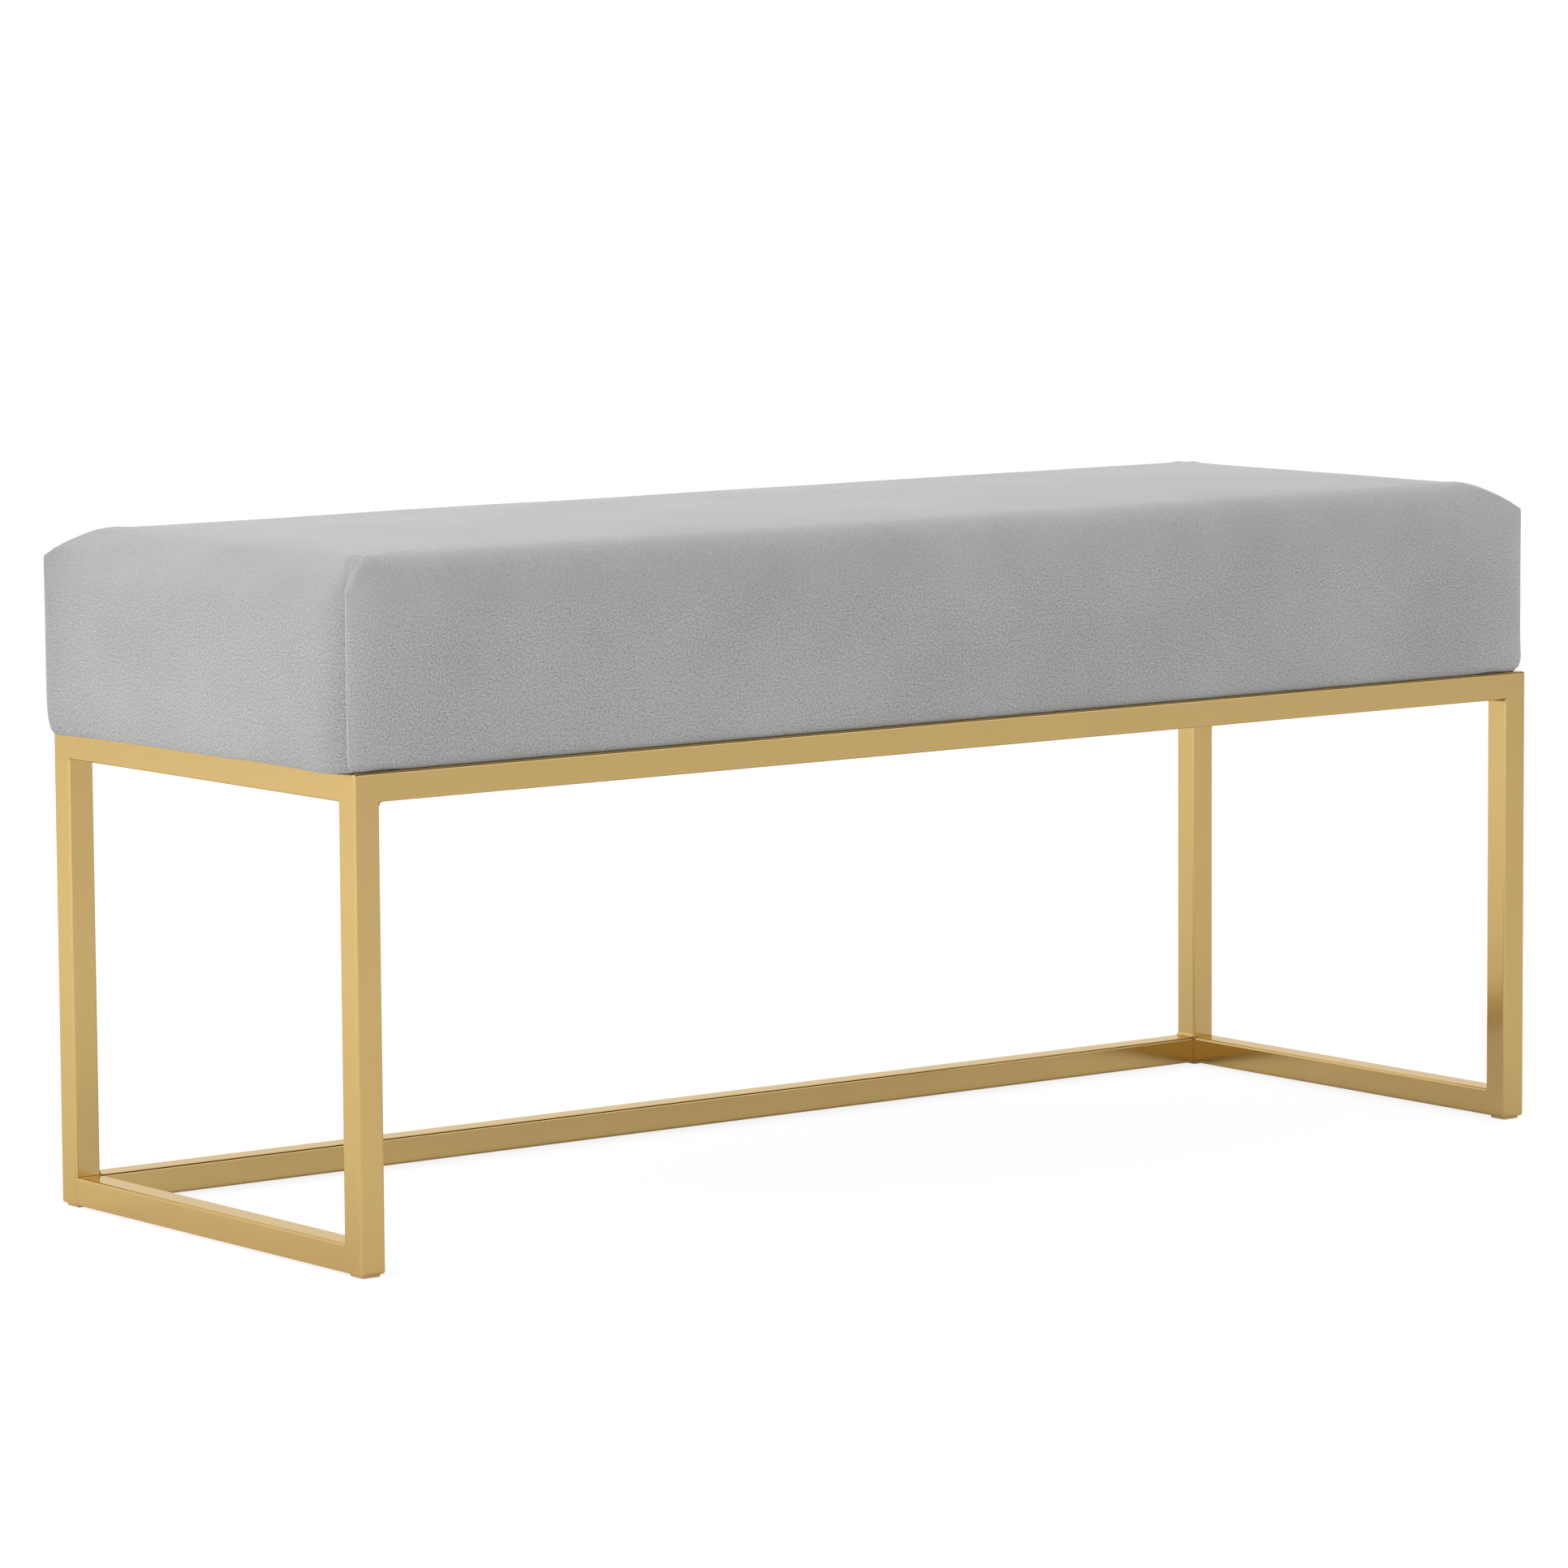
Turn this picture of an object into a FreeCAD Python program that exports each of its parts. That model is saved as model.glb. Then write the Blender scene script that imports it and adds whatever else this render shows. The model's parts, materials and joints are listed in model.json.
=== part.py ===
"""Upholstered bench: a thick velvet seat pad screwed down on a welded frame of square gold tube.

Units are millimetres, +Z is up, +X runs to the right along the bench and the front faces -Y.
The origin is on the floor, under the middle of the frame.
"""
import FreeCAD, Part
import math
import os

from FreeCAD import Vector

# Frame: one square tube section throughout
tube_side = 20.0
tube_wall = 1.5
tube_edge_radius = 2.0
frame_length = 1050.0
frame_depth = 376.0
frame_height = 335.0
weld_radius = 2.5
weld_end_margin = 0.8
seam_break_radius = 0.9

# Plates that close the legs, and the glides pressed into them
end_plate_thickness = 3.0
end_plate_clearance = 0.2
glide_pad_inset = 2.6
glide_pad_thickness = 2.0
glide_pad_chamfer = 0.7
glide_stem_width = 7.2
glide_stem_rib = 2.4
glide_stem_length = 11.0
glide_stem_clearance = 0.15
glide_barb_width = 9.2
glide_barb_height = 3.0
glide_tip_width = 5.6

# Tabs inside the top ring that carry the seat's screws
tab_thickness = 3.0
tab_width = 30.0
tab_reach = 36.0
tab_corner_radius = 7.0
tab_hole_diameter = 7.0
tab_hole_from_rail = 24.0
tab_from_end = 175.0
tabs_per_rail = 2

# Seat screws, washers and tee nuts
screw_diameter = 5.9
screw_length = 20.0
screw_head_diameter = 10.5
screw_head_height = 3.3
screw_head_taper = 1.6
screw_socket_width = 4.0
screw_socket_depth = 2.0
washer_diameter = 12.5
washer_thickness = 1.2
washer_bore = 6.4
tee_flange_diameter = 19.0
tee_flange_thickness = 1.5
tee_barrel_diameter = 7.8
tee_barrel_length = 9.0
tee_bore = 6.1
tee_clearance = 0.2

# Seat pad outside
pad_overhang = 3.0
pad_height = 141.0
pad_crown = 3.0
edge_reach = 40.0
edge_drop = 36.0
corner_reach = 30.0
corner_drop = 19.0
corner_sharpness = 0.57
corner_pull = 3.0
corner_run = 50.0
tuck_in = 3.0
tuck_height = 14.0
tuck_middle_share = 0.4
corner_run_most = 0.3
corner_bow_share = 0.75

# Seat pad layers
cover_thickness = 1.2
cover_turn_under = 29.0
layer_clearance = 0.3
wadding_thickness = 8.0
foam_edge_cut = 17.0
board_thickness = 15.0
board_edge_gap = 4.3
board_corner_radius = 30.0
dust_cover_thickness = 0.5
dust_cover_inset = 4.0
dust_cover_corner_radius = 6.0
dust_cover_hole = 9.0

# Levels that follow from the sizes above
frame_bottom = glide_pad_thickness
frame_top = frame_bottom + frame_height
pad_bottom = frame_top
pad_top = pad_bottom + pad_height
board_bottom = pad_bottom + cover_thickness
board_top = board_bottom + board_thickness
dust_cover_bottom = pad_bottom - dust_cover_thickness
tab_top = dust_cover_bottom
tab_bottom = tab_top - tab_thickness

# Plan positions that follow from the sizes above
right = frame_length / 2
left = -right
back = frame_depth / 2
front = -back
rail_back_inside = back - tube_side
rail_front_inside = front + tube_side
leg_left_inside = left + tube_side
leg_right_inside = right - tube_side
pad_half_x = frame_length / 2 + pad_overhang
pad_half_y = frame_depth / 2 + pad_overhang

# Angles of the pad's rounded top edge at which its form has a level, from upright to flat
RIM_ANGLES = (0, 22, 34, 46, 58, 69, 79, 90)
HIDDEN_RIM_ANGLES = (0, 30, 60, 90)

# Levels of the crown: share of the way from the rounded edge to the middle, and share of the height
CROWN_LEVELS = ((0.25, 0.6), (0.6, 1.0))

LONG_EDGES = {
    "x": ("front top", "front bottom", "back top", "back bottom"),
    "y": ("left top", "left bottom", "right top", "right bottom"),
    "z": ("left front", "left back", "right front", "right back"),
}


def block(low, high, rounded=(), radius=0.0):
    """Box between two corners, with the named edges rounded; "left top" is where those two faces meet."""
    size = high - low
    solid = Part.makeBox(size.x, size.y, size.z, low)
    places = {
        "left": lambda p: p.x - low.x,
        "right": lambda p: p.x - high.x,
        "front": lambda p: p.y - low.y,
        "back": lambda p: p.y - high.y,
        "bottom": lambda p: p.z - low.z,
        "top": lambda p: p.z - high.z,
    }
    chosen = []
    for name in rounded:
        faces = name.split()
        for edge in solid.Edges:
            middle = edge.CenterOfMass
            if all(abs(places[face](middle)) < 1e-6 for face in faces):
                chosen.append(edge)
    if not chosen:
        return solid
    return solid.makeFillet(radius, chosen)


def bore(low, high, axis):
    """Inside of a tube whose outside lies between two corners, open at both ends of its axis."""
    wall = Vector(tube_wall, tube_wall, tube_wall)
    setattr(wall, axis, 0.0)
    return block(low + wall, high - wall)


def prism_along_x(points, x_from, x_to):
    """Solid with a flat outline in the YZ plane, pulled along X."""
    corners = [Vector(x_from, y, z) for y, z in points]
    outline = Part.makePolygon(corners + corners[:1])
    return Part.Face(outline).extrude(Vector(x_to - x_from, 0, 0))


def leg_low_corner(side_x, side_y, z):
    """Left front corner of a leg's square section at a height."""
    x = left if side_x < 0 else leg_right_inside
    y = front if side_y < 0 else rail_back_inside
    return Vector(x, y, z)


def corner_block(side_x, side_y):
    """Ground top corner of the frame: a cube whose three outer edges are rounded into a ball."""
    x_name = "left" if side_x < 0 else "right"
    y_name = "front" if side_y < 0 else "back"
    low = leg_low_corner(side_x, side_y, frame_top - tube_side)
    high = low + Vector(tube_side, tube_side, tube_side)
    outer_edges = (x_name + " " + y_name, x_name + " top", y_name + " top")
    return block(low, high, outer_edges, tube_edge_radius)


def mitre_wedge(side_x, side_y):
    """Half of the top corner that belongs to the end rail; the other half belongs to the leg."""
    outer_y = side_y * frame_depth / 2
    inner_y = side_y * (frame_depth / 2 - tube_side)
    x_from = left if side_x < 0 else leg_right_inside
    points = ((outer_y, frame_top), (inner_y, frame_top), (inner_y, frame_top - tube_side))
    return prism_along_x(points, x_from, x_from + tube_side)


def leg(side_x, side_y):
    """Leg tube: rounded toe at the floor, mitred under the end rail at the top."""
    low = leg_low_corner(side_x, side_y, frame_bottom)
    high = low + Vector(tube_side, tube_side, frame_height - tube_side)
    toe_edges = ("left bottom", "right bottom", "front bottom", "back bottom")
    solid = block(low, high, LONG_EDGES["z"] + toe_edges, tube_edge_radius)
    if side_y < 0:
        solid = solid.fuse(ground_toe(side_x, low))
    head = corner_block(side_x, side_y).cut(mitre_wedge(side_x, side_y))
    solid = solid.fuse(head)
    inside = bore(low, high + Vector(0, 0, tube_side), "z")
    return solid.cut(inside).removeSplitter()


def ground_toe(side_x, low):
    """Foot of a front leg, where the lower end rail is welded on and ground flush with no groove."""
    x_name = "left" if side_x < 0 else "right"
    other = "right" if side_x < 0 else "left"
    high = low + Vector(tube_side, tube_side, tube_side)
    edges = (x_name + " front", other + " front", x_name + " bottom", other + " bottom", "front bottom")
    return block(low, high, edges, tube_edge_radius)


def top_end_rail(side_x):
    """Rail across the end of the top ring, mitred onto the front and back legs."""
    low = Vector(left if side_x < 0 else leg_right_inside, rail_front_inside, frame_top - tube_side)
    high = Vector(low.x + tube_side, rail_back_inside, frame_top)
    solid = block(low, high, LONG_EDGES["y"], tube_edge_radius)
    for side_y in (-1, 1):
        solid = solid.fuse(corner_block(side_x, side_y).common(mitre_wedge(side_x, side_y)))
    full_low = Vector(low.x, front, low.z)
    full_high = Vector(high.x, back, high.z)
    return solid.cut(bore(full_low, full_high, "y")).removeSplitter()


def weld_fillet(side_x, low_y, z_level, facing):
    """Concave weld in the corner of a long rail and a leg; facing is +1 above the rail and -1 below it."""
    corner_x = side_x * (frame_length / 2 - tube_side)
    along = -side_x * weld_radius
    up = facing * weld_radius
    start = Vector(corner_x, low_y + weld_end_margin, z_level)
    on_rail = start + Vector(along, 0, 0)
    on_leg = start + Vector(0, 0, up)
    centre = start + Vector(along, 0, up)
    middle = centre + Vector(-along, 0, -up) * math.sqrt(0.5)
    outline = Part.Wire([
        Part.makeLine(start, on_rail),
        Part.Arc(on_rail, middle, on_leg).toShape(),
        Part.makeLine(on_leg, start),
    ])
    return Part.Face(outline).extrude(Vector(0, tube_side - 2 * weld_end_margin, 0))


def long_rail(low_y, z_bottom, weld_facing):
    """Rail between two legs, butted on their inner faces, with a weld fillet in the corner that shows."""
    low = Vector(leg_left_inside, low_y, z_bottom)
    high = Vector(leg_right_inside, low_y + tube_side, z_bottom + tube_side)
    solid = block(low, high, LONG_EDGES["x"], tube_edge_radius)
    solid = solid.cut(bore(low, high, "x"))
    weld_level = high.z if weld_facing > 0 else low.z
    for side_x in (-1, 1):
        solid = solid.fuse(weld_fillet(side_x, low_y, weld_level, weld_facing))
    return solid.removeSplitter()


def lower_end_rail(side_x):
    """Rail near the floor between two legs; its back end has a broken edge, so an open seam shows there."""
    low = Vector(left if side_x < 0 else leg_right_inside, rail_front_inside, frame_bottom)
    high = Vector(low.x + tube_side, rail_back_inside, frame_bottom + tube_side)
    solid = block(low, high, LONG_EDGES["y"], tube_edge_radius)
    collar_low = Vector(low.x, high.y - tube_wall, low.z)
    seam = block(collar_low, high).cut(seam_core(low, high))
    return solid.cut(seam).cut(bore(low, high, "y")).removeSplitter()


def seam_core(low, high):
    """What is left of the rail's back end inside its broken edge."""
    edges = ("left back", "right back", "top back", "bottom back")
    return block(Vector(low.x, high.y - tube_side, low.z), high, edges, seam_break_radius)


def leg_foot_centre(side_x, side_y):
    """Point on the floor under the middle of a leg."""
    return Vector(side_x * (frame_length - tube_side) / 2, side_y * (frame_depth - tube_side) / 2, 0)


def end_plates():
    """Four plates welded into the leg ends, each with the hole that its glide is pressed into."""
    plates = []
    half = tube_side / 2 - tube_wall - end_plate_clearance
    hole = math.hypot(glide_stem_width / 2, glide_stem_rib / 2) + glide_stem_clearance
    for side_x in (-1, 1):
        for side_y in (-1, 1):
            foot = leg_foot_centre(side_x, side_y) + Vector(0, 0, frame_bottom)
            low = foot - Vector(half, half, 0)
            high = foot + Vector(half, half, end_plate_thickness)
            plates.append(block(low, high).cut(Part.makeCylinder(hole, end_plate_thickness, foot)))
    return Part.makeCompound(plates)


def stem_rib():
    """One of two crossed ribs of a glide's stem: straight in the plate, with a barb above and a thin tip."""
    shoulder = frame_bottom + end_plate_thickness + glide_stem_clearance
    right_side = [
        (glide_stem_width / 2, glide_pad_thickness),
        (glide_stem_width / 2, shoulder),
        (glide_barb_width / 2, shoulder),
        (glide_stem_width / 2, shoulder + glide_barb_height),
        (glide_tip_width / 2, glide_pad_thickness + glide_stem_length),
    ]
    left_side = [(-x, z) for x, z in reversed(right_side)]
    corners = [Vector(x, -glide_stem_rib / 2, z) for x, z in right_side + left_side]
    return Part.Face(Part.makePolygon(corners + corners[:1])).extrude(Vector(0, glide_stem_rib, 0))


def glide(side_x, side_y):
    """Square glide pad with a cross-ribbed stem that snaps through the leg's end plate."""
    half = tube_side / 2 - glide_pad_inset
    pad = Part.makeBox(2 * half, 2 * half, glide_pad_thickness, Vector(-half, -half, 0))
    softened = [edge for edge in pad.Edges if edge.CenterOfMass.z < glide_pad_thickness - 1e-6]
    pad = pad.makeChamfer(glide_pad_chamfer, softened)
    rib = stem_rib()
    crossed = rib.copy()
    crossed.rotate(Vector(0, 0, 0), Vector(0, 0, 1), 90)
    solid = pad.fuse(rib).fuse(crossed).removeSplitter()
    solid.translate(leg_foot_centre(side_x, side_y))
    return solid


def tab_places():
    """Centre of each tab's screw hole in plan, with the side of the frame it is welded to."""
    places = []
    spacing = (frame_length - 2 * tab_from_end) / (tabs_per_rail - 1)
    for side_y in (-1, 1):
        rail_face = side_y * (frame_depth / 2 - tube_side)
        for index in range(tabs_per_rail):
            x = left + tab_from_end + index * spacing
            places.append((Vector(x, rail_face - side_y * tab_hole_from_rail, 0), side_y))
    return places


def seat_tab(hole, side_y):
    """Flat tab welded to the inside of a long top rail, with a clearance hole for a seat screw."""
    rail_face = side_y * (frame_depth / 2 - tube_side)
    free_end = rail_face - side_y * tab_reach
    low = Vector(hole.x - tab_width / 2, min(rail_face, free_end), tab_bottom)
    high = Vector(hole.x + tab_width / 2, max(rail_face, free_end), tab_top)
    free_side = "back" if side_y < 0 else "front"
    plate = block(low, high, ("left " + free_side, "right " + free_side), tab_corner_radius)
    drill = Part.makeCylinder(tab_hole_diameter / 2, tab_thickness, Vector(hole.x, hole.y, tab_bottom))
    return plate.cut(drill)


def seat_screw(hole):
    """Button-head screw with a hexagon socket that pulls the board down on a tab."""
    seat = tab_bottom - washer_thickness
    head_bottom = seat - screw_head_height
    base = Vector(hole.x, hole.y, head_bottom)
    small = screw_head_diameter / 2 - screw_head_taper
    head = Part.makeCone(small, screw_head_diameter / 2, screw_head_height, base)
    shank = Part.makeCylinder(screw_diameter / 2, screw_head_height + screw_length, base)
    corner_radius = screw_socket_width / math.sqrt(3)
    angles = [math.radians(60 * turn) for turn in range(6)]
    hexagon = [base + Vector(math.cos(angle), math.sin(angle), 0) * corner_radius for angle in angles]
    socket = Part.Face(Part.makePolygon(hexagon + hexagon[:1])).extrude(Vector(0, 0, screw_socket_depth))
    return head.fuse(shank).cut(socket)


def seat_washer(hole):
    """Flat washer between a screw's head and its tab."""
    base = Vector(hole.x, hole.y, tab_bottom - washer_thickness)
    disc = Part.makeCylinder(washer_diameter / 2, washer_thickness, base)
    return disc.cut(Part.makeCylinder(washer_bore / 2, washer_thickness, base))


def tee_nut(hole):
    """Tee nut let into the top of the board, its barrel pointing down to meet the screw."""
    flange_base = Vector(hole.x, hole.y, board_top - tee_flange_thickness)
    barrel_base = flange_base - Vector(0, 0, tee_barrel_length)
    flange = Part.makeCylinder(tee_flange_diameter / 2, tee_flange_thickness, flange_base)
    barrel = Part.makeCylinder(tee_barrel_diameter / 2, tee_barrel_length, barrel_base)
    thread = Part.makeCylinder(tee_bore / 2, tee_barrel_length + tee_flange_thickness, barrel_base)
    return flange.fuse(barrel).cut(thread).removeSplitter()


def seat_board():
    """Plywood board with rounded corners, drilled and counterbored for the tee nuts."""
    inset = tuck_in + cover_thickness + board_edge_gap
    low = Vector(inset - pad_half_x, inset - pad_half_y, board_bottom)
    high = Vector(pad_half_x - inset, pad_half_y - inset, board_top)
    board = block(low, high, LONG_EDGES["z"], board_corner_radius)
    barrel_hole = tee_barrel_diameter / 2 + tee_clearance
    flange_hole = tee_flange_diameter / 2 + tee_clearance
    for hole, _ in tab_places():
        barrel_base = Vector(hole.x, hole.y, board_bottom)
        flange_base = Vector(hole.x, hole.y, board_top - tee_flange_thickness)
        board = board.cut(Part.makeCylinder(barrel_hole, board_thickness, barrel_base))
        board = board.cut(Part.makeCylinder(flange_hole, tee_flange_thickness, flange_base))
    return board


def bowed_run(start, middle, end, hidden):
    """Edges of an outline beside a corner: one arc through three points, or two lines in a hidden layer."""
    if hidden:
        return [Part.makeLine(start, middle), Part.makeLine(middle, end)]
    if (middle - start).cross(end - start).Length < 1e-3:
        return [Part.makeLine(start, end)]
    return [Part.Arc(start, middle, end).toShape()]


def pad_section(half_x, half_y, side_inset, corner_inset, z, hidden):
    """Level outline of the pad: straight sides that run in or out to its four seamed corners."""
    signs = ((-1, -1), (1, -1), (1, 1), (-1, 1))
    corners = [Vector(sx * (half_x - corner_inset), sy * (half_y - corner_inset), z) for sx, sy in signs]
    outward = (Vector(0, -1, 0), Vector(1, 0, 0), Vector(0, 1, 0), Vector(-1, 0, 0))
    bow = corner_inset - side_inset
    edges = []
    for index, normal in enumerate(outward):
        start = corners[index]
        end = corners[(index + 1) % 4]
        along = (end - start).normalize()
        run = min(corner_run, corner_run_most * (end - start).Length)
        halfway = along * (run / 2)
        bow_out = normal * bow
        first = start + along * run + bow_out
        last = end - along * run + bow_out
        edges += bowed_run(start, start + halfway + bow_out * corner_bow_share, first, hidden)
        edges.append(Part.makeLine(first, last))
        edges += bowed_run(last, end - halfway + bow_out * corner_bow_share, end, hidden)
    return Part.Wire(edges)


def pad_form(inset, bottom, rim_angles=RIM_ANGLES, hidden=True):
    """Closed form of the pad, drawn in by an inset on every outer side and cut off level at its bottom."""
    half_x = pad_half_x - inset
    half_y = pad_half_y - inset
    reach = edge_reach - inset
    drop = edge_drop - inset
    point_drop = corner_drop - inset / 2
    point_reach = corner_reach - inset / 2
    top = pad_top - inset

    def tucked(z):
        """How far the side is drawn in towards the frame at a height."""
        share = max(0.0, 1 - (z - pad_bottom) / tuck_height)
        return tuck_in * share ** 2

    def side_inset(fall):
        """Inset of the rounded top edge at a fall below the top."""
        sine = 1 - fall / drop
        return reach * (1 - math.sqrt(1 - sine ** 2))

    def corner_inset(fall):
        """Inset of the corner's crease at a fall below the top; it ends in a point."""
        if fall >= point_drop:
            return corner_pull
        return corner_pull + point_reach * (1 - (fall / point_drop) ** corner_sharpness)

    def fall_at(degrees):
        """Fall below the top where the rounded edge has turned through an angle, from upright to level."""
        return drop * (1 - math.sin(math.radians(degrees)))

    def level(z, side, corner):
        """Outline at a height."""
        return pad_section(half_x, half_y, side, corner, z, hidden)

    def rounded_level(fall):
        """Outline at a fall below the top, in the rounded edge."""
        return level(top - fall, side_inset(fall), corner_inset(fall))

    tuck_levels = (pad_bottom + tuck_middle_share * tuck_height, pad_bottom + tuck_height)
    side_levels = [bottom] + [z for z in tuck_levels if z > bottom + 1]
    side = [level(z, tucked(z), tucked(z) + corner_pull) for z in side_levels]
    falls = [fall_at(degrees) for degrees in rim_angles]
    side += [rounded_level(fall) for fall in falls if fall > point_drop]
    side.append(rounded_level(point_drop))
    crest = [rounded_level(point_drop)]
    crest += [rounded_level(fall) for fall in falls if fall < point_drop]
    for inward_share, rise_share in CROWN_LEVELS:
        inwards = inward_share * (half_y - reach)
        crest.append(level(top + rise_share * pad_crown, reach + inwards, corner_inset(0) + inwards))
    lower = Part.makeLoft(side, True, True)
    upper = Part.makeLoft(crest, True, True)
    return lower.fuse(upper).removeSplitter()


def velvet_cover():
    """Sewn velvet cover: top and sides in one, turned under the board all round."""
    outside = pad_form(0.0, pad_bottom, hidden=False)
    inside = pad_form(cover_thickness, board_bottom)
    half = Vector(pad_half_x - cover_turn_under, pad_half_y - cover_turn_under, 0)
    window = block(Vector(-half.x, -half.y, pad_bottom), Vector(half.x, half.y, board_top))
    return outside.cut(inside).cut(window)


def wadding_layer():
    """Fibre wadding wrapped over the foam's top and sides, down to the board."""
    outer_inset = cover_thickness + layer_clearance
    outside = pad_form(outer_inset, board_top, HIDDEN_RIM_ANGLES)
    return outside.cut(foam_form(outer_inset + wadding_thickness))


def foam_form(inset):
    """Slab of foam on the board, drawn in by an inset on every outer side, its top edges cut at a slant."""
    low = Vector(inset - pad_half_x, inset - pad_half_y, board_top)
    high = Vector(pad_half_x - inset, pad_half_y - inset, pad_top - inset)
    slab = block(low, high)
    top_edges = [edge for edge in slab.Edges if edge.BoundBox.ZMin > (low.z + high.z) / 2]
    return slab.makeChamfer(foam_edge_cut, top_edges)


def foam_block():
    """Foam block inside the wadding."""
    return foam_form(cover_thickness + wadding_thickness + 2 * layer_clearance)


def dust_cover():
    """Thin black dust cover under the board, between the rails and over the tabs, with screw holes."""
    gap = Vector(tube_side + dust_cover_inset, tube_side + dust_cover_inset, 0)
    low = Vector(left, front, dust_cover_bottom) + gap
    high = Vector(right, back, pad_bottom) - gap
    sheet = block(low, high, LONG_EDGES["z"], dust_cover_corner_radius)
    for hole, _ in tab_places():
        base = Vector(hole.x, hole.y, dust_cover_bottom)
        sheet = sheet.cut(Part.makeCylinder(dust_cover_hole / 2, dust_cover_thickness, base))
    return sheet


def build():
    """Every piece of the bench by its name."""
    nodes = {}
    sides_x = {"left": -1, "right": 1}
    sides_y = {"front": -1, "back": 1}
    for y_name, side_y in sides_y.items():
        for x_name, side_x in sides_x.items():
            nodes["leg_" + y_name + "_" + x_name] = leg(side_x, side_y)
            nodes["glide_" + y_name + "_" + x_name] = glide(side_x, side_y)
    for x_name, side_x in sides_x.items():
        nodes["top_rail_" + x_name] = top_end_rail(side_x)
        nodes["lower_rail_" + x_name] = lower_end_rail(side_x)
    nodes["top_rail_front"] = long_rail(front, frame_top - tube_side, -1)
    nodes["top_rail_back"] = long_rail(rail_back_inside, frame_top - tube_side, -1)
    nodes["lower_rail_back"] = long_rail(rail_back_inside, frame_bottom, 1)
    nodes["leg_end_plates"] = end_plates()
    for index, (hole, side_y) in enumerate(tab_places()):
        y_name = "front" if side_y < 0 else "back"
        nodes["seat_tab_" + y_name + "_" + str(index % tabs_per_rail + 1)] = seat_tab(hole, side_y)
    holes = [hole for hole, _ in tab_places()]
    nodes["seat_screws"] = Part.makeCompound([seat_screw(hole) for hole in holes])
    nodes["seat_washers"] = Part.makeCompound([seat_washer(hole) for hole in holes])
    nodes["tee_nuts"] = Part.makeCompound([tee_nut(hole) for hole in holes])
    nodes["seat_board"] = seat_board()
    nodes["foam_block"] = foam_block()
    nodes["wadding_layer"] = wadding_layer()
    nodes["velvet_cover"] = velvet_cover()
    nodes["dust_cover"] = dust_cover()
    return nodes


os.makedirs("parts", exist_ok=True)
for node_name, shape in build().items():
    shape.exportStep("parts/" + node_name + ".step")
    state = "valid" if shape.isValid() else "NOT VALID"
    print(node_name, state, len(shape.Solids), "solids", round(shape.Volume), "mm3")
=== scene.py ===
"""Upholstered bench: its velvet seat pad and satin gold frame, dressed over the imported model.

Lengths are in metres, written as millimetres times MM. +X runs to the right and the front faces -Y.
"""
import json
import math

import bmesh
import bpy
import numpy as np
from mathutils import Matrix, Vector, noise


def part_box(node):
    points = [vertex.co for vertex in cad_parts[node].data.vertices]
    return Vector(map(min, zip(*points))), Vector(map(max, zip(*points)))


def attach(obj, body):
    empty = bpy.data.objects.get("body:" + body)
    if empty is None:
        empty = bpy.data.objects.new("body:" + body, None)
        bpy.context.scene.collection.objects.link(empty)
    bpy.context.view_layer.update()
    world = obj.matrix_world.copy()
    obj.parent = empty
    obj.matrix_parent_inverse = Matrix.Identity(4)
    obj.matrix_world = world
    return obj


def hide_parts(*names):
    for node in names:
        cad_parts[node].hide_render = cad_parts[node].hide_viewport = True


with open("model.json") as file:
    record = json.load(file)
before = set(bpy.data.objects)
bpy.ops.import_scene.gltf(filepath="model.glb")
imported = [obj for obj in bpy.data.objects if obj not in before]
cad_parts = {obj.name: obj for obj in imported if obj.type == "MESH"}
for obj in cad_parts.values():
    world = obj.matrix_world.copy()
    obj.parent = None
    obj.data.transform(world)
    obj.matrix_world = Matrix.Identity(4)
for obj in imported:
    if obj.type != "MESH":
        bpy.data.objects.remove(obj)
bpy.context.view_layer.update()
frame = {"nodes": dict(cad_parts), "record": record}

MM = 0.001

# Photograph: where the camera stands, where it looks and through what lens
camera_place = (-3116.6 * MM, -4054.4 * MM, 860.1 * MM)
camera_yaw = 37.307
camera_pitch = -6.524
camera_roll = -0.386
camera_lens = 163.52
camera_sensor = 36.0

# Seat pad as photographed: it sits a little to the left of the frame's middle and behind it
pad_shift_x = -3.5 * MM
pad_shift_y = 2.5 * MM
shift_at_board = 0.85
shift_grows_over = 30 * MM

# Rounded top edge of the pad
edge_reach = 40 * MM
edge_drop = 36 * MM
edge_arc = 60 * MM
crown = 3 * MM
crown_flatness_x = 6
crown_flatness_y = 2

# Sewn corners: the seam's point lies below the top, and the seam draws the corner in
corner_reach = 26.5 * MM
corner_drop = 19 * MM
corner_sharpness = 0.57
corner_pull = 1.6 * MM
corner_run = 50 * MM
corner_turn = 3.4 * MM
corner_turn_reach = 8 * MM
corner_softness = 12 * MM
corner_softness_below = 3 * MM
corner_softness_least = 0.2 * MM

# Lower edge, where the cloth is drawn in over the frame, folded and turned under the board
tuck_in = 2.6 * MM
tuck_height = 12 * MM
fold_radius = 1.9 * MM
fold_clear = 1.6 * MM
turn_under = 29 * MM
turn_under_rows = 5
fold_angles = (90, 65, 40, 15)
tuck_start = 1.6 * fold_radius
tuck_rows = 4
cloth_thickness = 1.2 * MM

# Spacing of the cloth's mesh, and how it closes up towards the corner seams
cloth_spacing = 6 * MM
seam_spacing = (0.6, 1.3, 2.1, 3.1, 4.4, 6.0, 8.0, 10.5, 13.5, 17.0, 21.0, 25.5, 30.5, 36.0)

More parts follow.
